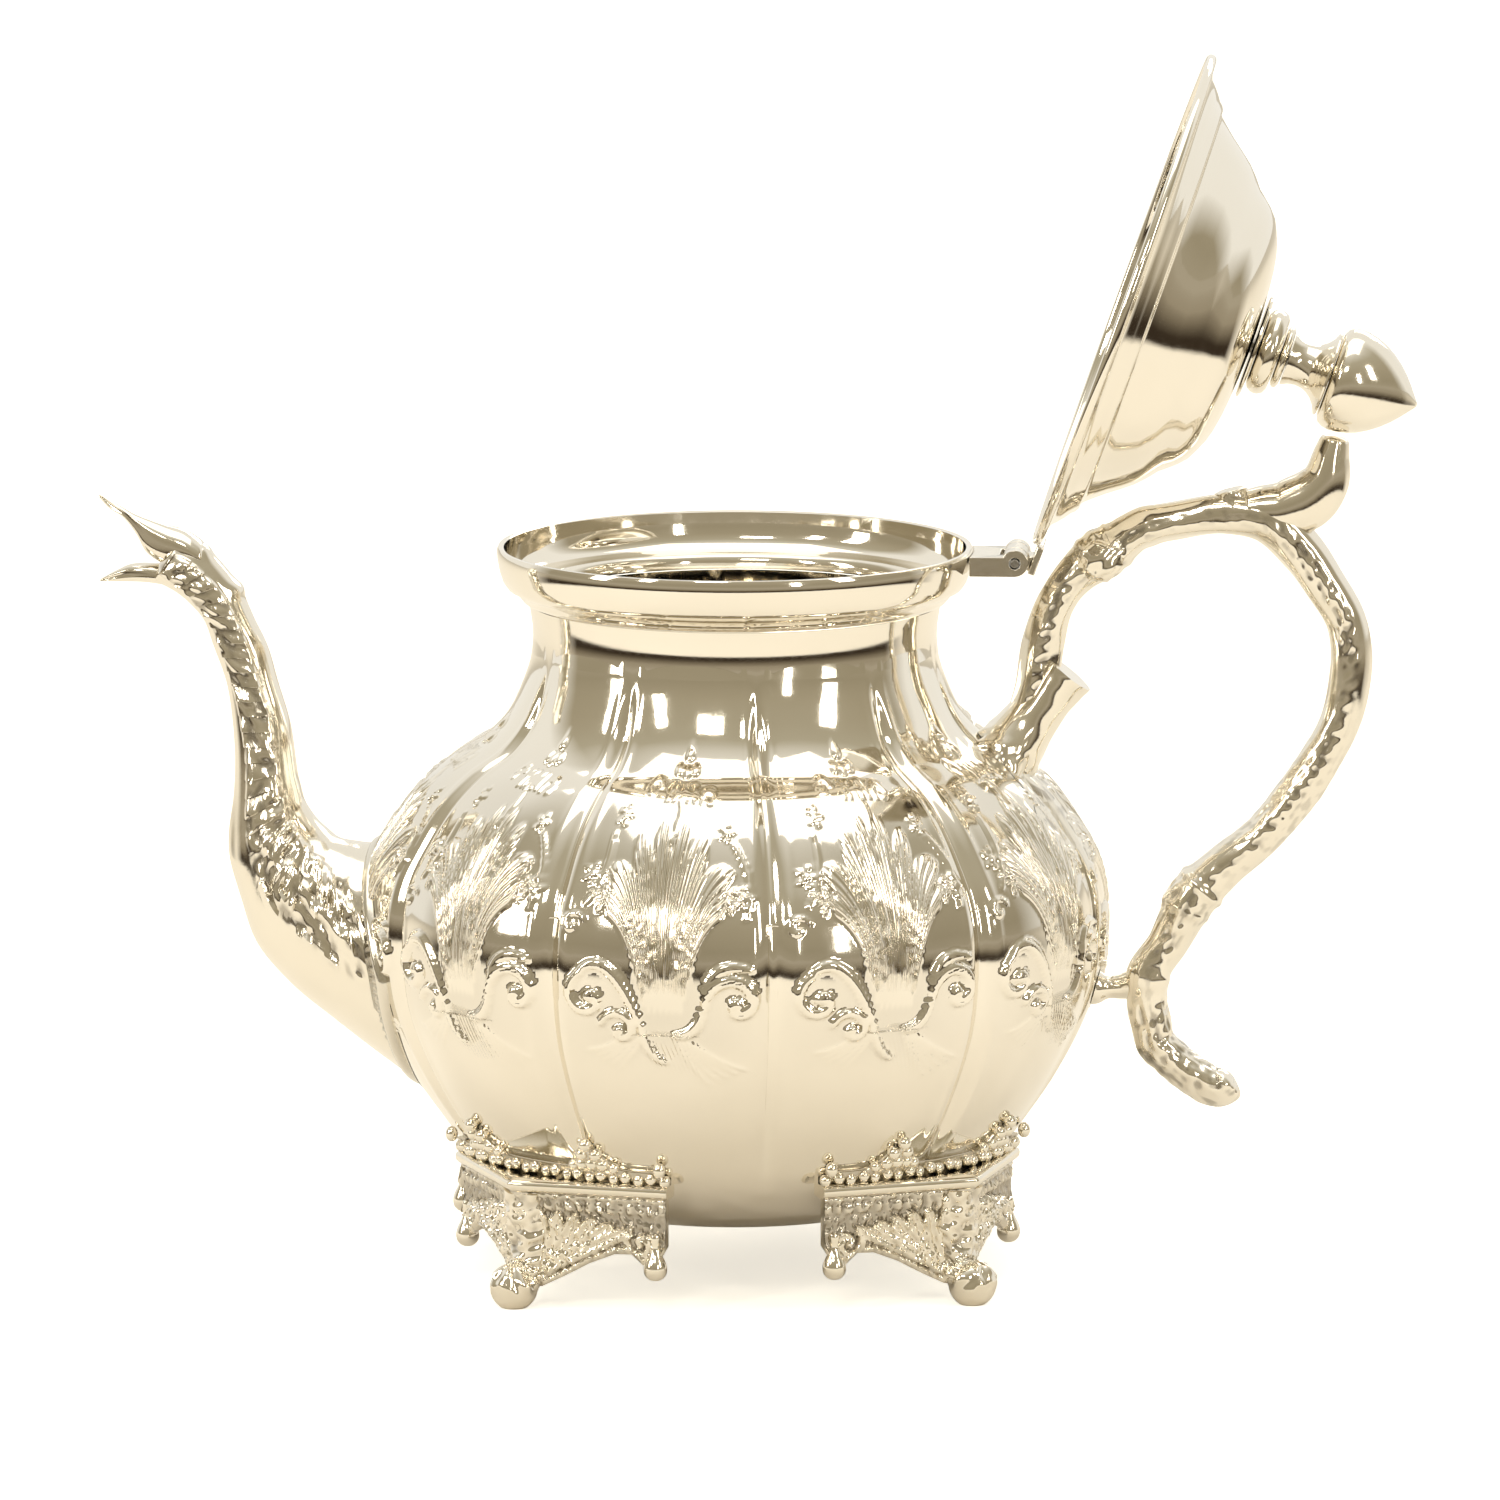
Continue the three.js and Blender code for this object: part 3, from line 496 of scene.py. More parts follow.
def bowl_skins(columns_per_lobe=78, rows=216, split=106):
    """The bowl in two skins that butt at one row: radius from the outline at each height, less
    the valley at each crease, plus the chased relief; then the plain inside, a wall's thickness
    in. Rows are closest where the chasing is. Each skin comes with the fields of its hatching."""
    dense = 1 + 4.5 * between(SMOOTH_OUTLINE[:, 1], 42, 54, 110, 116)
    place = run_length(SMOOTH_OUTLINE, dense[1:])
    steps = np.linspace(0, place[-1], rows)
    radius, height = (np.interp(steps, place, values) for values in SMOOTH_OUTLINE.T)
    across = (np.arange(columns_per_lobe) + 0.5) / columns_per_lobe * 2 - 1
    from_crease = 1 - np.abs(across)
    relief, painted_shade, *hatching = chased_panel(*np.meshgrid(across * PANEL_HALF * BOWL_RADIUS, height))
    sink = lobe_sink(across[None, :], height[:, None])
    edge = smoothstep(from_crease, 0.03, 0.12)[None, :]
    # Painted shade: a narrow dark line down each crease, as strong as the crease is deep.
    line = bump(from_crease * PANEL_HALF, 0, math.radians(0.8))[None, :]
    painted_shade = painted_shade + 0.2 * crease_share(height)[:, None] * line
    outer = radius[:, None] - sink + relief * edge
    rise, run = np.gradient(height), np.gradient(radius)
    size = np.hypot(rise, run)
    wall = BOWL_WALL + SHELL_SHIFT
    inner = (radius - wall * rise / size)[:, None] - 0.6 * sink
    inner_height = height + wall * run / size
    column = np.arange(columns_per_lobe * LOBES)
    angle = BOWL_TURN + (column + 0.5) / columns_per_lobe / LOBES * 2 * math.pi
    every = np.arange(0, rows, 8)
    lower = (np.arange(split + 1), np.append(every[every < split - 3], split))
    upper = (np.arange(split, rows),
             np.concatenate([[split], every[every > split + 3], [rows - 1]]))
    ground = np.broadcast_to([[12.0], [24.0]], (2, len(angle)))
    skins = []
    for rows_out, rows_in in (lower, upper):
        radii = [np.tile(outer[rows_out], (1, LOBES)), np.tile(inner[rows_in[::-1]], (1, LOBES))]
        heights = [height[rows_out], inner_height[rows_in[::-1]]]
        closed = rows_out[0] == 0
        if closed:
            radii = [ground, *radii, ground[::-1]]
            heights = [[height[0]] * 2, *heights, [height[0] + wall] * 2]
        first = len(ground) if closed else 0
        radii, heights = np.concatenate(radii), np.concatenate(heights)[:, None]
        points, faces, blank = tube_part(round_axis(radii, angle, heights), caps=closed)
        fields = []
        for values in (painted_shade, *hatching):
            full = np.zeros(radii.shape)
            full[first:first + len(rows_out)] = np.tile(values[rows_out] * edge, (1, LOBES))
            fields.append(np.concatenate([full.reshape(-1), np.zeros(len(blank) - full.size)]))
        skins.append((points, faces, *fields))
    return skins


for name, (points, faces, painted_shade, hatch_across, hatch_depth) in zip(
        ("chased_bowl_lower", "chased_bowl_upper"), bowl_skins()):
    make_piece(name, [(points, faces, np.clip(painted_shade, 0, 1))], "pot", chased_silver,
               ["bowl"], 60, {"hatch_across": hatch_across, "hatch_depth": hatch_depth})


# ---------- rim, lid and finial ----------

RIM_OUTLINE = [
    [41.8, 136.3], [42.6, 136.6], [43.2, 137.3], [43.6, 138.2], [44.6, 138.7], [45.8, 139.3],
    [46.6, 140.5], [47.2, 142.3], [47.7, 145], [47.8, 146.6], [47.5, 147.3], [46.9, 147.4],
    [46.4, 147.1], [46.2, 145], [46.0, 142.8], [45.4, 141.2], [44.4, 140.2], [43.2, 139.6],
    [41.6, 139.1], [40.9, 138.6], [40.7, 137.6], [40.6, 136.3]]
make_piece("mouth_rim", [turned(RIM_OUTLINE, 256)], "pot", polished_silver,
           ["rim_band"])


def lid_outline(points):
    """An outline with its heights counted from the closed lid's lowest plane."""
    return [(r, LID_PLANE + h) for r, h in points]


LID_RADIUS = 52.0
dome_top = [(47.2, 2.6), (46.4, 3.4), (45, 4.6), (43.7, 5.5), (43.1, 6.2), (42.4, 6.6),
            (41.4, 6.6), (40.8, 7.1), (39.4, 8.7), (37.8, 10.6), (36, 13), (34, 15.5),
            (32, 17.4), (30, 19), (28.6, 20.7), (27.3, 22.2), (25.5, 23.8), (23.3, 24.9),
            (21, 25.9), (18.5, 26.6), (15.6, 27.1), (12.8, 27.4), (8, 27.8), (1.9, 28)]
dome_under = [(1.9, 26.9), (8, 26.7), (12.8, 26.3), (18.2, 25.5), (22.8, 23.8), (26.4, 21.2),
              (29.2, 18), (33.1, 14.7), (37, 9.9), (40.2, 5.9), (42.2, 5.4), (43.2, 4.4),
              (45, 2.2), (45.2, 0.9)]
flange = [(49.6, 0.9), (49.7, 1.5), (49.5, 2.0), (48.4, 2.2)]
make_piece("domed_lid", [turned(lid_outline(flange + dome_top + dome_under), 256)], "lid",
           polished_silver, ["lid_shell"])
roll = np.linspace(0, 2 * math.pi, 24, endpoint=False)
make_piece("rolled_edge", [turned(np.stack([LID_RADIUS - 1 + np.cos(roll),
                                            LID_PLANE + 1 + np.sin(roll)], -1), 256)],
           "lid", polished_silver, ["lid_rim_bead"])

finial_parts = {
    "finial_flange": [(1.9, 28.3), (10.2, 28.3), (10.6, 28.5), (10.5, 28.8), (9.7, 29.1),
                      (1.9, 29.1)],
    "finial_ring": [(1.9, 29.4), (7.2, 29.4), (8.2, 29.9), (8.7, 30.8), (8.8, 31.5), (8.7, 32.2),
                    (8.2, 33.1), (7.2, 33.6), (1.9, 33.6)],
    "finial_collar": [(1.9, 33.9), (5.6, 33.9), (6.3, 34.3), (6.45, 34.7), (6.3, 35.1),
                      (5.6, 35.5), (1.9, 35.5)],
    "finial_stem": [(1.9, 35.8), (5.4, 35.8), (5.2, 36.3), (4.7, 37.3), (4.45, 38.8), (4.6, 40.2),
                    (5.0, 41.2), (5.8, 42.3), (7, 43.3), (8.1, 43.8), (8.7, 44.05), (8.75, 44.4),
                    (8.5, 44.6), (1.9, 44.6)],
}
for node, outline in finial_parts.items():
    make_piece("turned_" + node, [turned(lid_outline(outline), 128)], "lid", cast_silver, [node])
KNOB_BASE = 44.9
KNOB_RADIUS = 10.6
acorn = [(0, 0), (8.6, 0), (9.7, 0.5), (10.35, 1.6), (KNOB_RADIUS, 2.9), (10.5, 4.6), (10.1, 6.5),
         (9.3, 8.6), (8.1, 10.7), (6.6, 12.7), (4.9, 14.5), (3.3, 15.9), (1.9, 17), (0.9, 17.8),
         (0.3, 18.2), (0, 18.3)]
make_piece("turned_knob", [turned(lid_outline([(r, KNOB_BASE + h) for r, h in acorn]), 128)],
           "lid", cast_silver, ["finial_knob"])


# ---------- limbs and castings ----------

def clear_of_bowl(points, stand):
    """Points nearer the axis than the bowl's surface are moved straight out to it, and stand
    a little off it."""
    reach = np.hypot(points[..., 0], points[..., 1])
    turn = np.arctan2(points[..., 0], -points[..., 1])
    least = bowl_reach(turn, points[..., 2]) + stand
    scale = np.where(reach < least, least / np.maximum(reach, 1e-6), 1)
    return points * np.stack([scale, scale, np.ones_like(scale)], -1)


def pebbles(x, y, z, size, seed):
    """An uneven field between about -1 and 1: the sum of waves in random directions, each about
    as long as the size."""
    random = np.random.default_rng(seed)
    total = 0
    for _ in range(9):
        way = random.normal(size=3)
        way *= 2 * math.pi / (size * random.uniform(0.75, 1.7)) / np.linalg.norm(way)
        total = total + np.sin(way[0] * x + way[1] * y + way[2] * z + random.uniform(0, 6.28))
    return total / 3


def grit(length, angle, size, grain, seed):
    """Pebbles over a limb's own surface, from the distance along it and the angle round it."""
    return pebbles(length, size * np.cos(angle), size * np.sin(angle), grain, seed)


def section_skin(line, tilt, across, detail, columns, ends=(0, 0), clear=None):
    """A limb: round each point of the line an oval, from the tilt vector in the plane of the
    line to a half width across it. The detail function of the distance along and the angle
    round gives a change of radius and the painted shade; near an end the oval shrinks as a dome."""
    length = run_length(line)[:, None]
    angle = full_turn(columns)
    size = np.linalg.norm(tilt, axis=1)[:, None]
    side = tilt / size
    change, painted_shade = detail(length, angle, size)
    taper = np.ones_like(length)
    for reach, place in ((ends[0], length), (ends[1], length[-1] - length)):
        if reach:
            taper = taper * np.sqrt(np.clip(1 - (1 - np.clip(place / reach, 0, 1)) ** 2, 0.01, 1))
    in_plane = (size + change) * taper * np.cos(angle)
    y = (across[:, None] + change) * taper * np.sin(angle)
    points = np.stack([line[:, :1] + side[:, :1] * in_plane, y,
                       line[:, 1:] + side[:, 1:] * in_plane], -1)
    if clear is not None:
        points = clear_of_bowl(points, clear)
    return tube_part(points, np.broadcast_to(painted_shade, change.shape))


def limb_skin(stations, rows, columns, detail, ends=(0, 0), clear=None):
    """A limb whose ovals stand square to a smooth line through the stations, each of x, z, the
    half height in the plane and the half width across."""
    line = resample(stations, rows)
    ahead = np.gradient(line[:, :2], axis=0)
    ahead /= np.linalg.norm(ahead, axis=1)[:, None]
    square = np.stack([-ahead[:, 1], ahead[:, 0]], -1) * line[:, 2][:, None]
    return section_skin(line[:, :2], square, line[:, 3], detail, columns, ends, clear)


def edged_skin(edges, rows, columns, detail, ends=(0, 0), clear=None):
    """A limb between two drawn edges, each station giving a point on the lower edge, a point
    on the upper edge and the half width across."""
    e = np.asarray(edges, float)
    centre, half = (e[:, 0:2] + e[:, 2:4]) / 2, (e[:, 2:4] - e[:, 0:2]) / 2
    line = resample(np.concatenate([centre, half, e[:, 4:5]], axis=1), rows)
    return section_skin(line[:, :2], line[:, 2:4], line[:, 4], detail, columns, ends, clear)


def berry(centre, radii, columns=14, rows=9, detail=None):
    """A ball or egg: the sphere stretched by a radius for each axis, and swollen by a share of
    its radius that the detail function gives."""
    if np.isscalar(radii):
        radii = (radii,) * 3
    lift = np.linspace(0, math.pi, rows + 2)[1:-1][:, None]
    turn = full_turn(columns)
    shape = np.stack([np.sin(lift) * np.cos(turn), np.sin(lift) * np.sin(turn),
                      np.broadcast_to(np.cos(lift), (rows, columns))], -1)
    if detail:
        shape = shape * (1 + detail(shape))[..., None]
    return tube_part(shape * radii + np.asarray(centre, float))


def plain(length, angle, size):
    """Cast metal that was only smoothed: slow swells under a tenth of a millimetre."""
    return 0.08 * grit(length, angle, size, 9, 2), np.zeros((1, 1))


# ---------- handle ----------

BRANCH = [
    [57.5, 109.6, 4.2], [60.3, 118, 4.4], [61.9, 128.2, 4.2], [64.6, 136.4, 4.1],
    [67.2, 140.5, 4.2], [71, 144.4, 4.8], [73.6, 146.3, 5.4], [76.4, 148.1, 4.8],
    [80.4, 150.9, 4.3], [89.5, 153.4, 4.2], [98.5, 154.6, 4.5], [106.6, 153.6, 5],
    [113.6, 147.1, 4.8], [118, 141, 4.4], [122.7, 132.9, 4.2], [123.7, 126.8, 4.2],
    [123.3, 120.7, 4.2], [121.5, 112.5, 4.2], [117.2, 104.3, 4.2], [111.6, 96.1, 4.3],
    [104.6, 87.9, 4.3], [99.5, 83.8, 4.4], [94.7, 79.4, 4.9], [91.8, 76.1, 5.4],
    [89.9, 72.5, 4.9], [87.3, 67.3, 4.4], [83.5, 61.2, 4.6], [83.1, 55, 4.4],
    [83.9, 51, 4.3], [84.9, 46.9, 4.2], [87.5, 44.1, 4.2], [92.5, 40.1, 4.2],
    [97.9, 38.1, 4.2], [100.6, 39.9, 4.1]]
BRANCH = np.array([[x, z, r, r] for x, z, r in BRANCH])


def along_branch(station):
    """The distance along the branch, in mm, of one of its stations."""
    line = resample(BRANCH, 1500)
    return run_length(line)[np.argmin(np.hypot(*(line[:, :2] - BRANCH[station, :2]).T))]


FIRST_KNOT, BEND, SECOND_KNOT, FORK = (along_branch(k) for k in (6, 12, 23, 26))


def branch_bark(length, angle, size):
    """Smooth twig with a strip of small pebbled bark along each side, a few long flats, a
    swelling and a ring of cuts at each knot, and rough bark below the fork."""
    flats = 0.16 * np.sin(4 * angle + 0.06 * length) + 0.14 * grit(length / 3, angle, size, 5, 4)
    drift = 0.35 * np.sin(length * 0.045)
    strip = bump(np.abs(np.sin(angle)) * np.sign(np.cos(angle + drift) + 1.2), 1, 0.09)
    strip = strip * (0.35 + 0.65 * smoothstep(grit(length, angle, 0 * size, 17, 8), -0.5, 0.4))
    rough = np.maximum(strip, smoothstep(length, FORK + 2, FORK + 9) * 0.8)
    for place, wide, share in ((FIRST_KNOT, 4.5, 0.7), (SECOND_KNOT, 5, 0.7),
                               (SECOND_KNOT - 26, 16, 0.45)):
        rough = np.maximum(rough, bump(length, place, wide) * share)
    grain = grit(length, angle, size, 1.6, 6)
    rings = sum(rise * bump(length, place, wide) for place, rise, wide in (
        (FIRST_KNOT - 2.6, 0.45, 0.8), (FIRST_KNOT + 3.4, 0.4, 0.9), (SECOND_KNOT - 3.5, 0.5, 0.9),
        (SECOND_KNOT + 2.2, 0.35, 0.8), (FORK + 1, 0.4, 2.4), (BEND - 34, 0.3, 2)))
    change = flats + 0.15 * rough * grain + rings - 0.2
    # Painted shade in the low pebbles of the rough bark.
    return change, np.clip(0.55 * rough * smoothstep(-grain, 0.1, 0.9), 0, 0.5)


def knot_face(length, angle, size):
    """Torn bark: coarse pebbles of a few millimetres."""
    grain = grit(length, angle, size, 2.4, 9)
    # Painted shade in the low pebbles.
    return 0.42 * grain - 0.25, np.clip(-0.4 * grain, 0, 0.5)


def pebbled(size, rise, seed):
    """Detail for a berry: pebbles of a given share of its radius."""
    return lambda shape: rise * pebbles(shape[..., 0], shape[..., 1], shape[..., 2], size, seed)


knot_burls = [berry((73.6, side * 4.3, 145.6), (4.3, 2.0, 4.1), 40, 26, pebbled(0.55, 0.07, 3))
              for side in (-1, 1)]
make_piece("branch_handle",
           [limb_skin(BRANCH, 760, 72, branch_bark, ends=(0, 2.2), clear=0.1), *knot_burls],
           "pot", cast_silver, ["handle_upper_arm", "handle_grip", "handle_lower_arm"])


def root_bark(length, angle, size):
    """Sawn branch: smooth along the top, torn leafy bark at the root and a raised lip round
    the sawn end."""
    low = 1 - smoothstep(length, 10, 22)
    grain = grit(length, angle, size, 3.2, 12)
    leaves = np.sin(9 * angle + 0.5 * np.sin(length * 0.5))
    change = low * (0.5 * grain + 0.5 * leaves) + 0.25 * bump(length, length[-1, 0], 1.4)
    change = change + 0.1 * grit(length / 2, angle, size, 4, 13) - 0.35
    # Painted shade in the low places of the torn bark at the root.
    return change, np.clip(0.45 * low * smoothstep(-grain, 0, 1), 0, 0.5)


STUMP = [[46, 92.5, 9.6, 15.5], [50.5, 99.5, 8.6, 13.5], [54.6, 105.5, 7.4, 10.2],
         [59.4, 112.2, 5.9, 6.6], [63, 117, 5.5, 5.6], [67.1, 122.1, 5.6, 5.6]]
make_piece("sawn_branch", [limb_skin(STUMP, 150, 96, root_bark, clear=0.1)],
           "pot", cast_silver, ["handle_stump"])
PEG = [[70, 58.1, 3.6, 3.6], [73.6, 58.1, 3.3, 3.3], [75, 58.1, 2.5, 2.5], [77.5, 58.2, 2.5, 2.5],
       [80, 58.6, 3.0, 3.0], [83.6, 59.2, 3.6, 3.6]]
make_piece("side_twig", [limb_skin(PEG, 40, 40, plain, clear=0.1)],
           "pot", cast_silver, ["handle_peg"])

# The horn ends just under the open knob's widest place.
KNOB_GAP = 0.4
KNOB_REST = 4.76
knob_rest = [KNOB_RADIUS + KNOB_GAP, 0, LID_PLANE + KNOB_BASE + KNOB_REST]
tip_x, _, tip_z = open_lid(np.array([knob_rest]))[0]
HORN = [[101, 155.4, 3.6, 4.2], [105.5, 155.6, 4.8, 4.6], [110, 155.6, 5.7, 4.9],
        [114.6, 157.4, 5.9, 4.9], [118.2, 161.4, 5.0, 4.6], [tip_x - 0.5, tip_z - 4.0, 3.7, 3.8],
        [tip_x + 0.3, tip_z - 0.35, 2.7, 2.9]]
NUB = [[100.6, 152.8, 4.0, 4.2], [100.0, 156, 3.7, 3.8], [99.4, 158.9, 3.5, 3.4],
       [99.2, 159.7, 3.3, 3.2]]


def nub_face(length, angle, size):
    """The same torn bark, under half as deep."""
    return tuple(0.4 * values for values in knot_face(length, angle, size))


make_piece("thumb_twig",
           [limb_skin(HORN, 110, 64, plain, ends=(2, 0.8)),
            limb_skin(NUB, 40, 40, nub_face, ends=(0, 0.4))],
           "pot", cast_silver, ["handle_thumb_rest"])


# ---------- spout ----------

SPOUT_EDGES = [
    [-60, 35.4, -66, 87.4, 25], [-65, 38.4, -73, 86.3, 23], [-73.4, 44.3, -77, 86.6, 19.5],
    [-80.2, 49.4, -79.8, 87.2, 16.6], [-90.1, 57.4, -82.4, 89.3, 13.6],
    [-96.9, 65.6, -84.3, 91.2, 11.4], [-99.7, 73.6, -85.7, 93.2, 9.8],
    [-101.6, 82, -86.7, 95.2, 8.5], [-101.8, 88.5, -87.3, 97.7, 7.5],
    [-101.4, 95, -87.9, 100.3, 6.9], [-101.2, 102.2, -88.3, 103.4, 6.5],
    [-101.6, 110.3, -89.3, 110.4, 6.2], [-102.8, 118.5, -91.7, 118.6, 5.9],
    [-105.6, 126.6, -94.1, 126.7, 5.8], [-107.2, 131.1, -96.3, 131.2, 6],
    [-109.6, 134.1, -98.7, 136.5, 6.4], [-112.4, 136.5, -101.8, 141.5, 6.6],
    [-115.6, 138.2, -106.4, 146, 6.2], [-118, 138.9, -112.6, 149.1, 5.2]]
UPPER_BEAK = [
    [-106.5, 140.9, -106.5, 146.8, 4.6], [-110, 141.9, -110, 149.2, 4.8],
    [-116, 143.1, -114.6, 150.6, 4.0], [-118.8, 145.3, -117.6, 151.6, 3.2],
    [-120.4, 148.4, -120.2, 152.6, 2.5], [-123.2, 152, -122.6, 153.9, 1.8],
    [-126, 153.8, -125, 155.2, 1.1], [-128.2, 156.2, -127.8, 156.7, 0.4]]
LOWER_BEAK = [
    [-108, 136.3, -108, 142.3, 4.8], [-111, 137.3, -111, 142.5, 4.6],
    [-116, 138.5, -116, 142.7, 3.6], [-120.3, 138.9, -120.3, 142.7, 2.6],
    [-122.4, 138.9, -122, 142.4, 2],
    [-125, 138.9, -124.8, 141.1, 1.2], [-128, 138.9, -128, 139.3, 0.4]]


# The scrolled leaves at the foot, in mm along the spout and up its side: bent lines by their
# start, control and end points, and scrolls by their centre, radius, turns, first angle and way.
SPOUT_LEAVES = (
    (arc_path((12, -9), (24, -13), (38, -7)), 2.0), (arc_path((12, 4), (28, 11), (50, 5)), 2.0),
    (arc_path((14, -2), (26, 3), (46, -3)), 1.8), (scroll_path((21, 3.5), 5.2, 1.4, 0.5, 1), 1.5),
    (scroll_path((32, -2.5), 4.6, 1.4, 2.5, -1), 1.4),
    (scroll_path((41, 2.6), 3.4, 1.3, 0.7, 1), 1.2),
    (arc_path((16, -11), (20, -4), (28, -9)), 1.3), (arc_path((30, 8), (36, 4), (40, 9)), 1.2))


def spout_relief(length, angle, size):
    """Leaves and plumage cast on the sides: at the foot of the spout scrolled leaves, then up
    the neck a strip of small overlapping plumes, with plain metal in front and behind."""
    up = np.cos(angle)
    middle = np.interp(length, [10, 30, 50, 75, 100, 120], [0.28, 0.22, 0.02, -0.16, -0.1, 0.1])
    half = np.interp(length, [0, 30, 46, 60, 95, 108, 118], [0.5, 0.55, 0.6, 0.55, 0.62, 0.5, 0.0])
    place = up - middle
    edge = np.clip((half - np.abs(place)) / 0.12, -4, 4)
    strip = smoothstep(edge, 0, 1) * between(length, 8, 13, 104, 112)
    across = np.where(np.sin(angle) > 0, 1, -1) * place * size / 2.3
    row = length / 3.1
    tip = row - np.floor(row)
    stagger = across + 0.5 * (np.floor(row) % 2)
    within = (stagger - np.floor(stagger) - 0.5) * 2
    plume = (1 - tip) * np.sqrt(np.clip(1 - within**2 * (0.4 + 0.6 * tip), 0, 1))
    neck = smoothstep(length, 42, 54)
    grain = grit(length, angle, size, 2.6, 21)
    leaves = strokes(*np.broadcast_arrays(length, size * up - 0.22 * size),
                     [(path, wide, 1.0, 0.4, 0.3) for path, wide in SPOUT_LEAVES])
    change = strip * (0.3 + neck * (0.6 * plume + 0.2 * grain)
                      + (1 - neck) * (1.1 * leaves + 0.25 * grain))
    # a keel in front of the elbow and three plates behind the head
    change = change + 0.9 * bump(up, -1, 0.08) * bump(length, 47, 5)
    for distance in (94, 102.5, 110):
        change = change + 0.8 * bump(up, 1, 0.28) * bump(length, distance, 1.5)
    # Painted shade in the low grain of the strip and at the low end of each plume, under the next.
    painted_recess_shade = 0.5 * smoothstep(-grain, 0, 1) + 0.3 * neck * smoothstep(tip, 0.7, 1)
    return change - 0.3, strip * np.clip(painted_recess_shade, 0, 0.6)


def beak_plain(length, angle, size):
    """Smooth beak with a shallow seam along each side."""
    seam = bump(np.abs(np.sin(angle)), 1, 0.06)
    return -0.3 * seam * smoothstep(length, 2, 8), np.zeros((1, 1))


eyes = [berry((-108.8, side * 5.9, 142.2), (1.3, 0.8, 1.2)) for side in (-1, 1)]
make_piece("leafy_spout", [
    edged_skin(SPOUT_EDGES, 560, 104, spout_relief, ends=(0, 1.5), clear=0.1),
    edged_skin(UPPER_BEAK, 90, 40, beak_plain, ends=(1, 0.4)),
    edged_skin(LOWER_BEAK, 80, 36, beak_plain, ends=(1, 0.4)), *eyes],
    "pot", cast_silver, ["spout"])


def spout_collar(columns=220):
    """The strip soldered round the foot of the spout: an egg-shaped ring laid on the bowl, with
    a bead along each edge and upright grooves between them."""
    round_ring = full_turn(columns).T
    share = np.array([0.74, 0.74, 0.78, 0.83, 0.87, 0.91, 0.95, 0.98, 1.0, 1.02, 1.02])[None, :]
    stand = np.array([-0.2, 1.3, 1.7, 1.2, 1.5, 1.2, 1.5, 1.9, 1.7, 1.1, -0.2])[None, :]
    x, y = share * np.cos(round_ring), share * np.sin(round_ring)
    point = np.abs(np.sin(round_ring))
    grooves = 0.3 * np.cos(56 * round_ring) * bump(share, 0.88, 0.06)
    spread, height = 28.4 * x * (1 - 0.12 * point), 62.2 + 23.3 * y * (1 + 0.06 * point**4)
    turn = spread / BOWL_RADIUS - math.pi / 2
    reach = bowl_reach(turn, height) + stand + grooves
    # Painted shade in the grooves.
    return tube_part(round_axis(reach, turn, height), np.clip(-grooves, 0, 1), caps=False)


make_piece("spout_collar", [spout_collar()], "pot", dull_silver, ["spout_flange"])


# ---------- feet ----------

FACE_HALF = math.radians(29)
HEM = np.array([[0, 4.6], [0.14, 5.4], [0.28, 7.6], [0.46, 10.6], [0.64, 12.8], [0.76, 13],
                [0.84, 11], [0.9, 10.6], [0.95, 11.6], [1, 14]])
CORNER = np.array([[3, 62.6], [9, 61.2], [15, 61.4], [22, 63.6], [26, 64.6], [40, 64.6]])
FACE_TOP = 25.2
FACE_WIDTH = 30.2
FACE_THICKNESS = 2.0
CORNER_RADIUS, FAR_RADIUS = 63, 57.2
TOE_RADIUS, SOLE_RADIUS, TOE_X = 4.8, 2.5, 64.6


def face_place(share, height, out=0.0):
    """A point of a foot's two flat faces, which run from the corner over the toe to the bowl:
    share is -1 or 1 at the far edges and 0 at the corner, and out is the distance off the face."""
    corner = np.interp(height, CORNER[:, 0], CORNER[:, 1])
    far_x, far_y = FAR_RADIUS * math.cos(FACE_HALF), FAR_RADIUS * math.sin(FACE_HALF)
    size = np.abs(share)
    slope = np.hypot(far_x - CORNER_RADIUS, far_y)
    normal_x, normal_y = far_y / slope, (CORNER_RADIUS - far_x) / slope
    near = bump(share, 0, 0.05)
    x = corner * (1 - size) + far_x * size + out * (normal_x + (1 - normal_x) * near)
    y = np.sign(share) * (far_y * size + out * normal_y * (1 - near))
    return np.stack(np.broadcast_arrays(x, y, height), -1)


def hem_height(share):
    """The height of the faces' lower edge."""
    return np.interp(np.abs(share), HEM[:, 0], HEM[:, 1])


def leaf_lines():
    """The raised lines of a face: seven leaves that fan from the toe with a vein on each, and
    two scrolls of the curled leaf."""
    lines = []
    for k, (reach, top) in enumerate(((1.2, 20.3), (4.6, 20.4), (8.2, 20.2), (11.8, 20.0),
                                      (15.2, 19.4), (18.6, 18.6), (21.6, 17.6))):
        bend = 0.5 * reach
        leaf = arc_path((1.4 + 0.75 * k, 5.2 + 0.75 * k), (1.5 + bend, 12 + 0.2 * k), (reach, top))
        vein = arc_path((2 + 0.8 * k, 7 + 0.6 * k), (3.2 + bend, 11.5 + 0.2 * k),
                        (reach + 1.9, top - 0.6))
        lines += [(leaf, 1.75, 1.55, 0.55, 0.45), (vein, 0.6, 1.0, 0.5)]
    return [*lines, (scroll_path((25.2, 15.2), 3.6, 1.3, 2.2, 1), 1.1, 1.2, 0.6, 0.3),
            (scroll_path((23.6, 11.6), 1.9, 1.1, 1.0, -1), 0.8, 0.9, 0.6)]


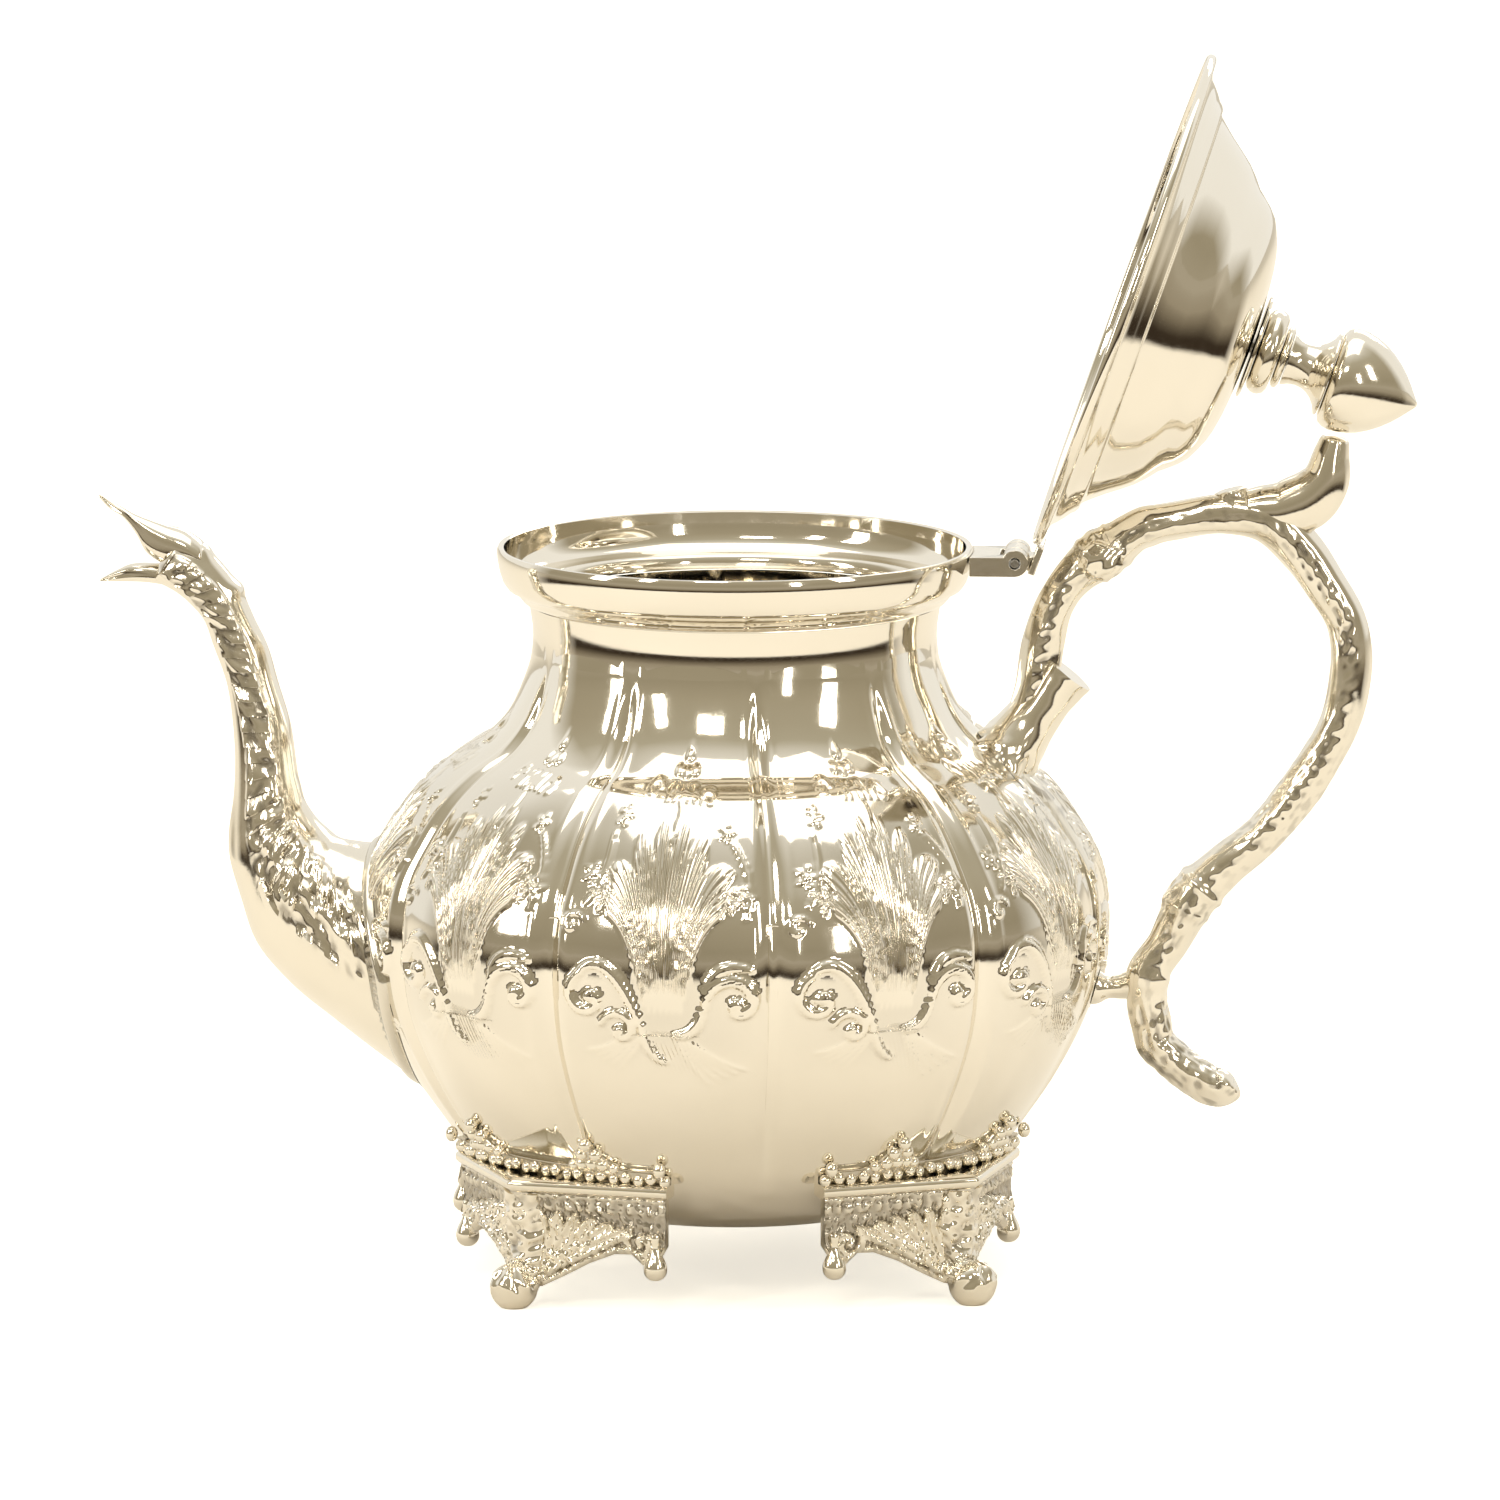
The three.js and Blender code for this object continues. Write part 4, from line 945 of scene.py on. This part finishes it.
def acanthus_face(share, height):
    """Relief of a foot's face: the highest of its leaves and scrolls, a strip of upright notches
    and a rib over them, and a raised hem; with a fine grit and painted shade in the lows."""
    a = np.abs(share) * FACE_WIDTH
    notches = 0.55 * (0.5 + 0.5 * np.cos(a * 2 * math.pi / 2.1)) ** 0.7
    strip = between(height, 20.9, 21.5, 22.9, 23.5)
    hem = 0.8 * bump(height - hem_height(share), 0.7, 0.7)
    rise = np.maximum.reduce([0.5 * bump(height, 24.2, 0.7), notches * strip, hem,
                              strokes(a, height, leaf_lines())])
    rise = rise + 0.2 * pebbles(a, height, np.sign(share) * 4, 1.7, 31) * smoothstep(a, 1, 4)
    return rise, np.clip(0.6 - 0.75 * rise, 0, 0.55)


def foot_apron(steps=150, up=44):
    """The two faces of a foot as one bent plate: relief outside, plain 2 mm behind."""
    share = np.linspace(-1, 1, 2 * steps + 1)[:, None]
    hem = hem_height(share)
    v = np.linspace(0, 1, up)[None, :]
    height = hem + (FACE_TOP - hem) * v
    rise, painted_shade = acanthus_face(share, height)
    front = face_place(share, height, rise * np.minimum(1, 12 * v * (1 - v) + 0.15))
    back_height = hem + (FACE_TOP - hem) * v[:, ::-4]
    back = face_place(share, back_height, -FACE_THICKNESS)
    return tube_part(np.concatenate([front, back], axis=1),
                     np.concatenate([painted_shade, np.zeros(back_height.shape)], axis=1))


def on_bowl(turn, height, stand):
    """Points a given distance off the bowl, in the foot's own frame, whose corner is on +X."""
    reach = bowl_radius(height) + stand
    return np.stack(np.broadcast_arrays(reach * np.cos(turn), reach * np.sin(turn), height), -1)


def foot_ledge(steps=60):
    """The ledge over the faces: from a rounded nose outside it runs in to the bowl."""
    share = np.linspace(-1.02, 1.02, 2 * steps + 1)[:, None]
    out = np.array([-1.0, 0.9, 1.5, 1.7, 1.5, 0.7])[None, :]
    height = np.array([24.6, 24.7, 25.3, 26.1, 26.8, 27.2])[None, :]
    nose = face_place(share, np.broadcast_to(height, (len(share), 6)), out)
    turn = np.arctan2(nose[:, :, 1], nose[:, :, 0])[:, :1]
    return tube_part(np.concatenate([nose, on_bowl(turn, np.array([[27.3, 24.6]]), -0.8)], axis=1))


PYRAMID = ((-4.6, 30.6, 1.15), (-2.3, 31.2, 1.4), (0, 31.4, 1.5), (2.3, 31.2, 1.4),
           (4.6, 30.6, 1.15), (-1.5, 33.4, 1.4), (1.5, 33.4, 1.4), (0, 35.5, 1.4))


def foot_berries():
    """A row of berries along the bowl over the ledge, with a pyramid of larger ones over each
    face and one at each end."""
    parts = [berry(on_bowl(turn, 28.3 + 0.5 * (k % 2), 1.2), (1.25, 1.2, 1.3), 12, 7)
             for k, turn in enumerate(np.linspace(-FACE_HALF, FACE_HALF, 23))]
    for side in (-1, 1):
        middle = side * FACE_HALF / 2
        parts += [berry(on_bowl(middle + ds / 60, height, 0.6), size, 12, 8)
                  for ds, height, size in PYRAMID]
        parts.append(berry(on_bowl(side * FACE_HALF * 0.98, 30.9, 1.4), (1.3, 1.3, 1.6), 12, 8))
    return parts


def foot_band(steps=80):
    """The strip behind the berries: a thin plate on the bowl with a rounded top, which rises
    in a bell over the middle of each face."""
    turn = np.linspace(-FACE_HALF, FACE_HALF, steps)[:, None]
    crest = 4.2 * bump(np.abs(turn) / FACE_HALF, 0.5, 0.12)
    lift = np.array([0.0, 0.0, 0.35, 0.7, 0.93, 1.0, 1.0])[None, :]
    stand = np.array([-0.8, 1.3, 1.2, 1.1, 0.9, 0.4, -0.8])[None, :]
    # Painted shade over the whole strip behind the berries.
    return tube_part(on_bowl(turn, 26.8 + (3.4 + crest) * lift, stand), np.full((steps, 7), 0.3))


def foot_drop(side):
    """A drop that hangs from the curled leaf: a neck that swells to a ball."""
    outline = [(0, 17.5), (0.9, 17.3), (1.0, 16), (0.9, 14.8), (1.3, 13.4), (2.0, 12), (2.35, 10.6),
               (2.1, 9.2), (1.2, 8.3), (0, 8.0)]
    points, faces, shade = turned(outline, 28, rows=26)
    x, y, _ = face_place(np.array(side * 0.93), np.array(12.0), 0.2)
    return points + [x, y, 0], faces, shade


def foot_toe():
    """The ball the foot stands on: a sphere cut off flat below, pebbled and creased above."""
    middle = FLOOR_DROP + math.sqrt(TOE_RADIUS**2 - SOLE_RADIUS**2)
    lift = np.linspace(0.02, math.pi - math.asin(SOLE_RADIUS / TOE_RADIUS), 40)
    outline = np.stack([TOE_RADIUS * np.sin(lift), middle + TOE_RADIUS * np.cos(lift)], -1)
    outline = np.concatenate([[[0, outline[0, 1]]], outline, [[0, outline[-1, 1]]]])

    def crumple(angle, height):
        """Pebbles and seven creases, on the upper half only."""
        grit = pebbles(np.sin(angle), np.cos(angle), height / TOE_RADIUS, 0.5, 41)
        return smoothstep(height, 3.8, 6.5) * (0.42 * grit + 0.25 * np.sin(7 * angle))

    points, faces, shade = turned(outline, 48, detail=crumple)
    return points + [TOE_X, 0, 0], faces, shade


def turn_foot(part, angle):
    """A part of the foot on +X turned about the bowl's axis to an angle from -Y."""
    points, faces, shade = part
    c, s = math.cos(angle - math.pi / 2), math.sin(angle - math.pi / 2)
    spun = np.stack([points[:, 0] * c - points[:, 1] * s, points[:, 0] * s + points[:, 1] * c,
                     points[:, 2]], -1)
    return spun, faces, shade


SHIN = [[62.2, 24.5, 2.2, 5.0], [61.0, 19, 2.6, 5.2], [60.4, 13, 2.8, 4.8], [61.2, 9, 3.0, 4.2],
        [63.4, 6.4, 3.2, 3.9]]
foot_parts = [foot_apron(), foot_ledge(), foot_band(), *foot_berries(), foot_drop(-1), foot_drop(1),
              foot_toe(), limb_skin(SHIN, 60, 48, knot_face)]
for k, node in enumerate(("foot_front_right", "foot_back_right", "foot_back_left",
                          "foot_front_left")):
    placed = [turn_foot(part, FOOT_TURN + k * math.pi / 2) for part in foot_parts]
    make_piece("leafy_" + node, placed, "pot", cast_silver, [node])


# ---------- hinge and fixings ----------

def eased(node, body, finish, width_mm):
    """A copy of a plain piece with its corners merged and its edges rounded off."""
    work = bmesh.new()
    work.from_mesh(bpy.data.objects[node].data)
    bmesh.ops.remove_doubles(work, verts=work.verts, dist=1e-6)
    bmesh.ops.dissolve_limit(work, angle_limit=math.radians(2), verts=work.verts, edges=work.edges)
    mesh = bpy.data.meshes.new("eased_" + node)
    work.to_mesh(mesh)
    work.free()
    piece = settle("eased_" + node, mesh, body, finish, [node], 35)
    rounding = piece.modifiers.new("rounded_edges", "BEVEL")
    rounding.width = width_mm / 1000
    rounding.segments = 2
    rounding.limit_method = "ANGLE"
    rounding.angle_limit = math.radians(40)


eased("hinge_block", "pot", dull_silver, 0.3)
eased("hinge_leaf", "lid", dull_silver, 0.25)
eased("hinge_pin", "pot", plain_steel, 0.12)
eased("lid_washer", "lid", plain_steel, 0.15)
eased("lid_nut", "lid", plain_steel, 0.2)
eased("lid_stud", "lid", plain_steel, 0.15)


# ---------- room, light and camera ----------

FLOOR_REACH = 6.0
TABLE_REACH = 0.42


def add_floor():
    """A white sweep to the eye. The silver sees a cream table that ends TABLE_REACH in front of
    the pot; past it the floor glows with a painted reflection: painted shade at the table's edge
    and the room's floor beyond it."""
    mesh = bpy.data.meshes.new("table_top")
    mesh.from_pydata([(x * FLOOR_REACH, y * FLOOR_REACH, 0) for x, y in
                      ((-1, -1), (1, -1), (1, 1), (-1, 1))], [], [(0, 1, 2, 3)])
    floor = bpy.data.objects.new("table_top", mesh)
    bpy.context.scene.collection.objects.link(floor)
    table = bpy.data.materials.new("pale_table")
    table.use_nodes = True
    tree = table.node_tree
    tree.nodes.clear()
    ray = add_node(tree, "LightPath").outputs["Is Camera Ray"]
    place = add_node(tree, "TexCoord").outputs["Object"]
    reach = add_node(tree, "VectorMath", {0: place}, operation="LENGTH").outputs["Value"]
    share = add_node(tree, "Math", {0: reach}, {1: 2.0}, operation="DIVIDE")
    # Painted reflection: the glow past the table's edge, dark at the edge as painted shade and
    # khaki further out as the room's floor.
    painted_room_tint = add_node(tree, "ValToRGB", {"Fac": share}, stops=[
        (0.0, "#2c241b"), (0.26, "#3a3025"), (0.34, "#7d725f"), (0.45, "#a0957f"),
        (1.0, "#b0a691")])
    edge = add_node(tree, "MapRange", {"Value": reach},
                    {"From Min": TABLE_REACH, "From Max": TABLE_REACH + 0.03})
    toward = add_node(tree, "VectorMath", {0: place}, operation="NORMALIZE")
    sides = add_node(tree, "SeparateXYZ", {"Vector": toward})
    front = add_node(tree, "MapRange", {"Value": sides.outputs["Y"]},
                     {"From Min": 0.42, "From Max": 0.12})
    past = add_node(tree, "Math", {0: edge, 1: front}, operation="MULTIPLY")
    cream = add_node(tree, "BsdfDiffuse", values={"Color": colour("#f4f0e9")})
    painted_room_glow = add_node(tree, "Emission", {"Color": painted_room_tint})
    reflected = add_node(tree, "MixShader", {0: past, 1: cream, 2: painted_room_glow})
    white = add_node(tree, "BsdfDiffuse", values={"Color": colour("#fdfbf4")})
    glow = add_node(tree, "Emission", values={"Color": colour("#fffdf6"), "Strength": 0.6})
    seen = add_node(tree, "AddShader", {0: white, 1: glow})
    mixed = add_node(tree, "MixShader", {0: ray, 1: reflected, 2: seen})
    add_node(tree, "OutputMaterial", {"Surface": mixed})
    mesh.materials.append(table)


def add_studio():
    """White to the eye. The silver sees a white sweep behind the pot and a khaki room, paler
    towards its ceiling, in front of it."""
    world = bpy.data.worlds.new("studio")
    bpy.context.scene.world = world
    world.use_nodes = True
    tree = world.node_tree
    tree.nodes.clear()
    ray = add_node(tree, "LightPath").outputs["Is Camera Ray"]
    aim = add_node(tree, "TexCoord").outputs["Generated"]
    parts = add_node(tree, "SeparateXYZ", {"Vector": aim})
    height = add_node(tree, "MapRange", {"Value": parts.outputs["Z"]},
                      {"From Min": -1.0, "From Max": 1.0})
    walls = add_node(tree, "ValToRGB", {"Fac": height}, stops=[
        (0.0, "#b0a691"), (0.5, "#a79d86"), (0.56, "#a1977f"), (0.7, "#aca28a"),
        (0.86, "#b8b09a"), (1.0, "#f2eee4")])
    behind = add_node(tree, "MapRange", {"Value": parts.outputs["Y"]},
                      {"From Min": 0.12, "From Max": 0.42})
    around = add_node(tree, "Mix", {"Factor": behind, 6: walls}, {7: colour("#fbf8f0")},
                      data_type="RGBA")
    room = add_node(tree, "Background", {"Color": around.outputs[2]}, {"Strength": 1.0})
    white = add_node(tree, "Background", values={"Color": colour("#ffffff"), "Strength": 1.0})
    seen = add_node(tree, "MixShader", {0: ray, 1: room, 2: white})
    add_node(tree, "OutputWorld", {"Surface": seen})


LIGHT_TINT = "#fffaf0"
# Each soft light: its place and size in metres, and its watts.
LIGHTS = {
    "overhead": ((0.0, 0.1, 1.7), (1.6, 1.3), 8),
    "left_window": ((-1.5, -0.7, 0.75), (0.28, 0.9), 6),
    "left_pane": ((-1.15, -1.3, 1.0), (0.2, 0.5), 5),
    "right_window": ((1.45, -0.9, 0.8), (0.28, 0.8), 4.5),
    "right_pane": ((0.95, -1.5, 0.5), (0.12, 0.5), 3),
    "front_window": ((-0.3, -1.8, 1.5), (0.55, 0.3), 6),
    "back_window": ((0.4, 1.6, 0.9), (0.9, 0.5), 4)}


def add_lights():
    """Soft rectangular lights that face the middle of the pot."""
    for name, (place, size, watts) in LIGHTS.items():
        light = bpy.data.lights.new(name, "AREA")
        light.shape = "RECTANGLE"
        light.size, light.size_y = size
        light.energy = watts
        light.color = colour(LIGHT_TINT)[:3]
        lamp = bpy.data.objects.new(name, light)
        bpy.context.scene.collection.objects.link(lamp)
        lamp.location = place
        aim_at = np.array([0, 0, 0.1]) - np.array(place)
        lamp.rotation_euler = Vector(aim_at).to_track_quat("-Z", "Y").to_euler()


VIEW_TURN, VIEW_LIFT = math.radians(3.3), math.radians(9.5)
VIEW_DISTANCE, VIEW_WIDTH = 3.0, 0.30165
VIEW_RIGHT, VIEW_UP, VIEW_HEIGHT = 0.0030165, 0.0056308, 0.0988
SENSOR_MM = 36


def add_camera():
    """A long lens a little to the right of the pot and above it: the lens gives the wanted
    width at the pot's distance."""
    camera_data = bpy.data.cameras.new("camera")
    camera = bpy.data.objects.new("camera", camera_data)
    bpy.context.scene.collection.objects.link(camera)
    back = np.array([math.sin(VIEW_TURN) * math.cos(VIEW_LIFT),
                     -math.cos(VIEW_TURN) * math.cos(VIEW_LIFT), math.sin(VIEW_LIFT)])
    right = np.array([math.cos(VIEW_TURN), math.sin(VIEW_TURN), 0])
    up = np.cross(back, right)
    target = np.array([AXIS_X / 1000, 0, VIEW_HEIGHT]) + right * VIEW_RIGHT + up * VIEW_UP
    camera.location = target + back * VIEW_DISTANCE
    camera.rotation_euler = Vector(-back).to_track_quat("-Z", "Y").to_euler()
    camera_data.sensor_width = SENSOR_MM
    camera_data.lens = SENSOR_MM * VIEW_DISTANCE / VIEW_WIDTH
    camera_data.clip_end = 20
    bpy.context.scene.camera = camera
    bpy.context.scene.view_settings.view_transform = "Standard"


add_floor()
add_studio()
add_lights()
add_camera()
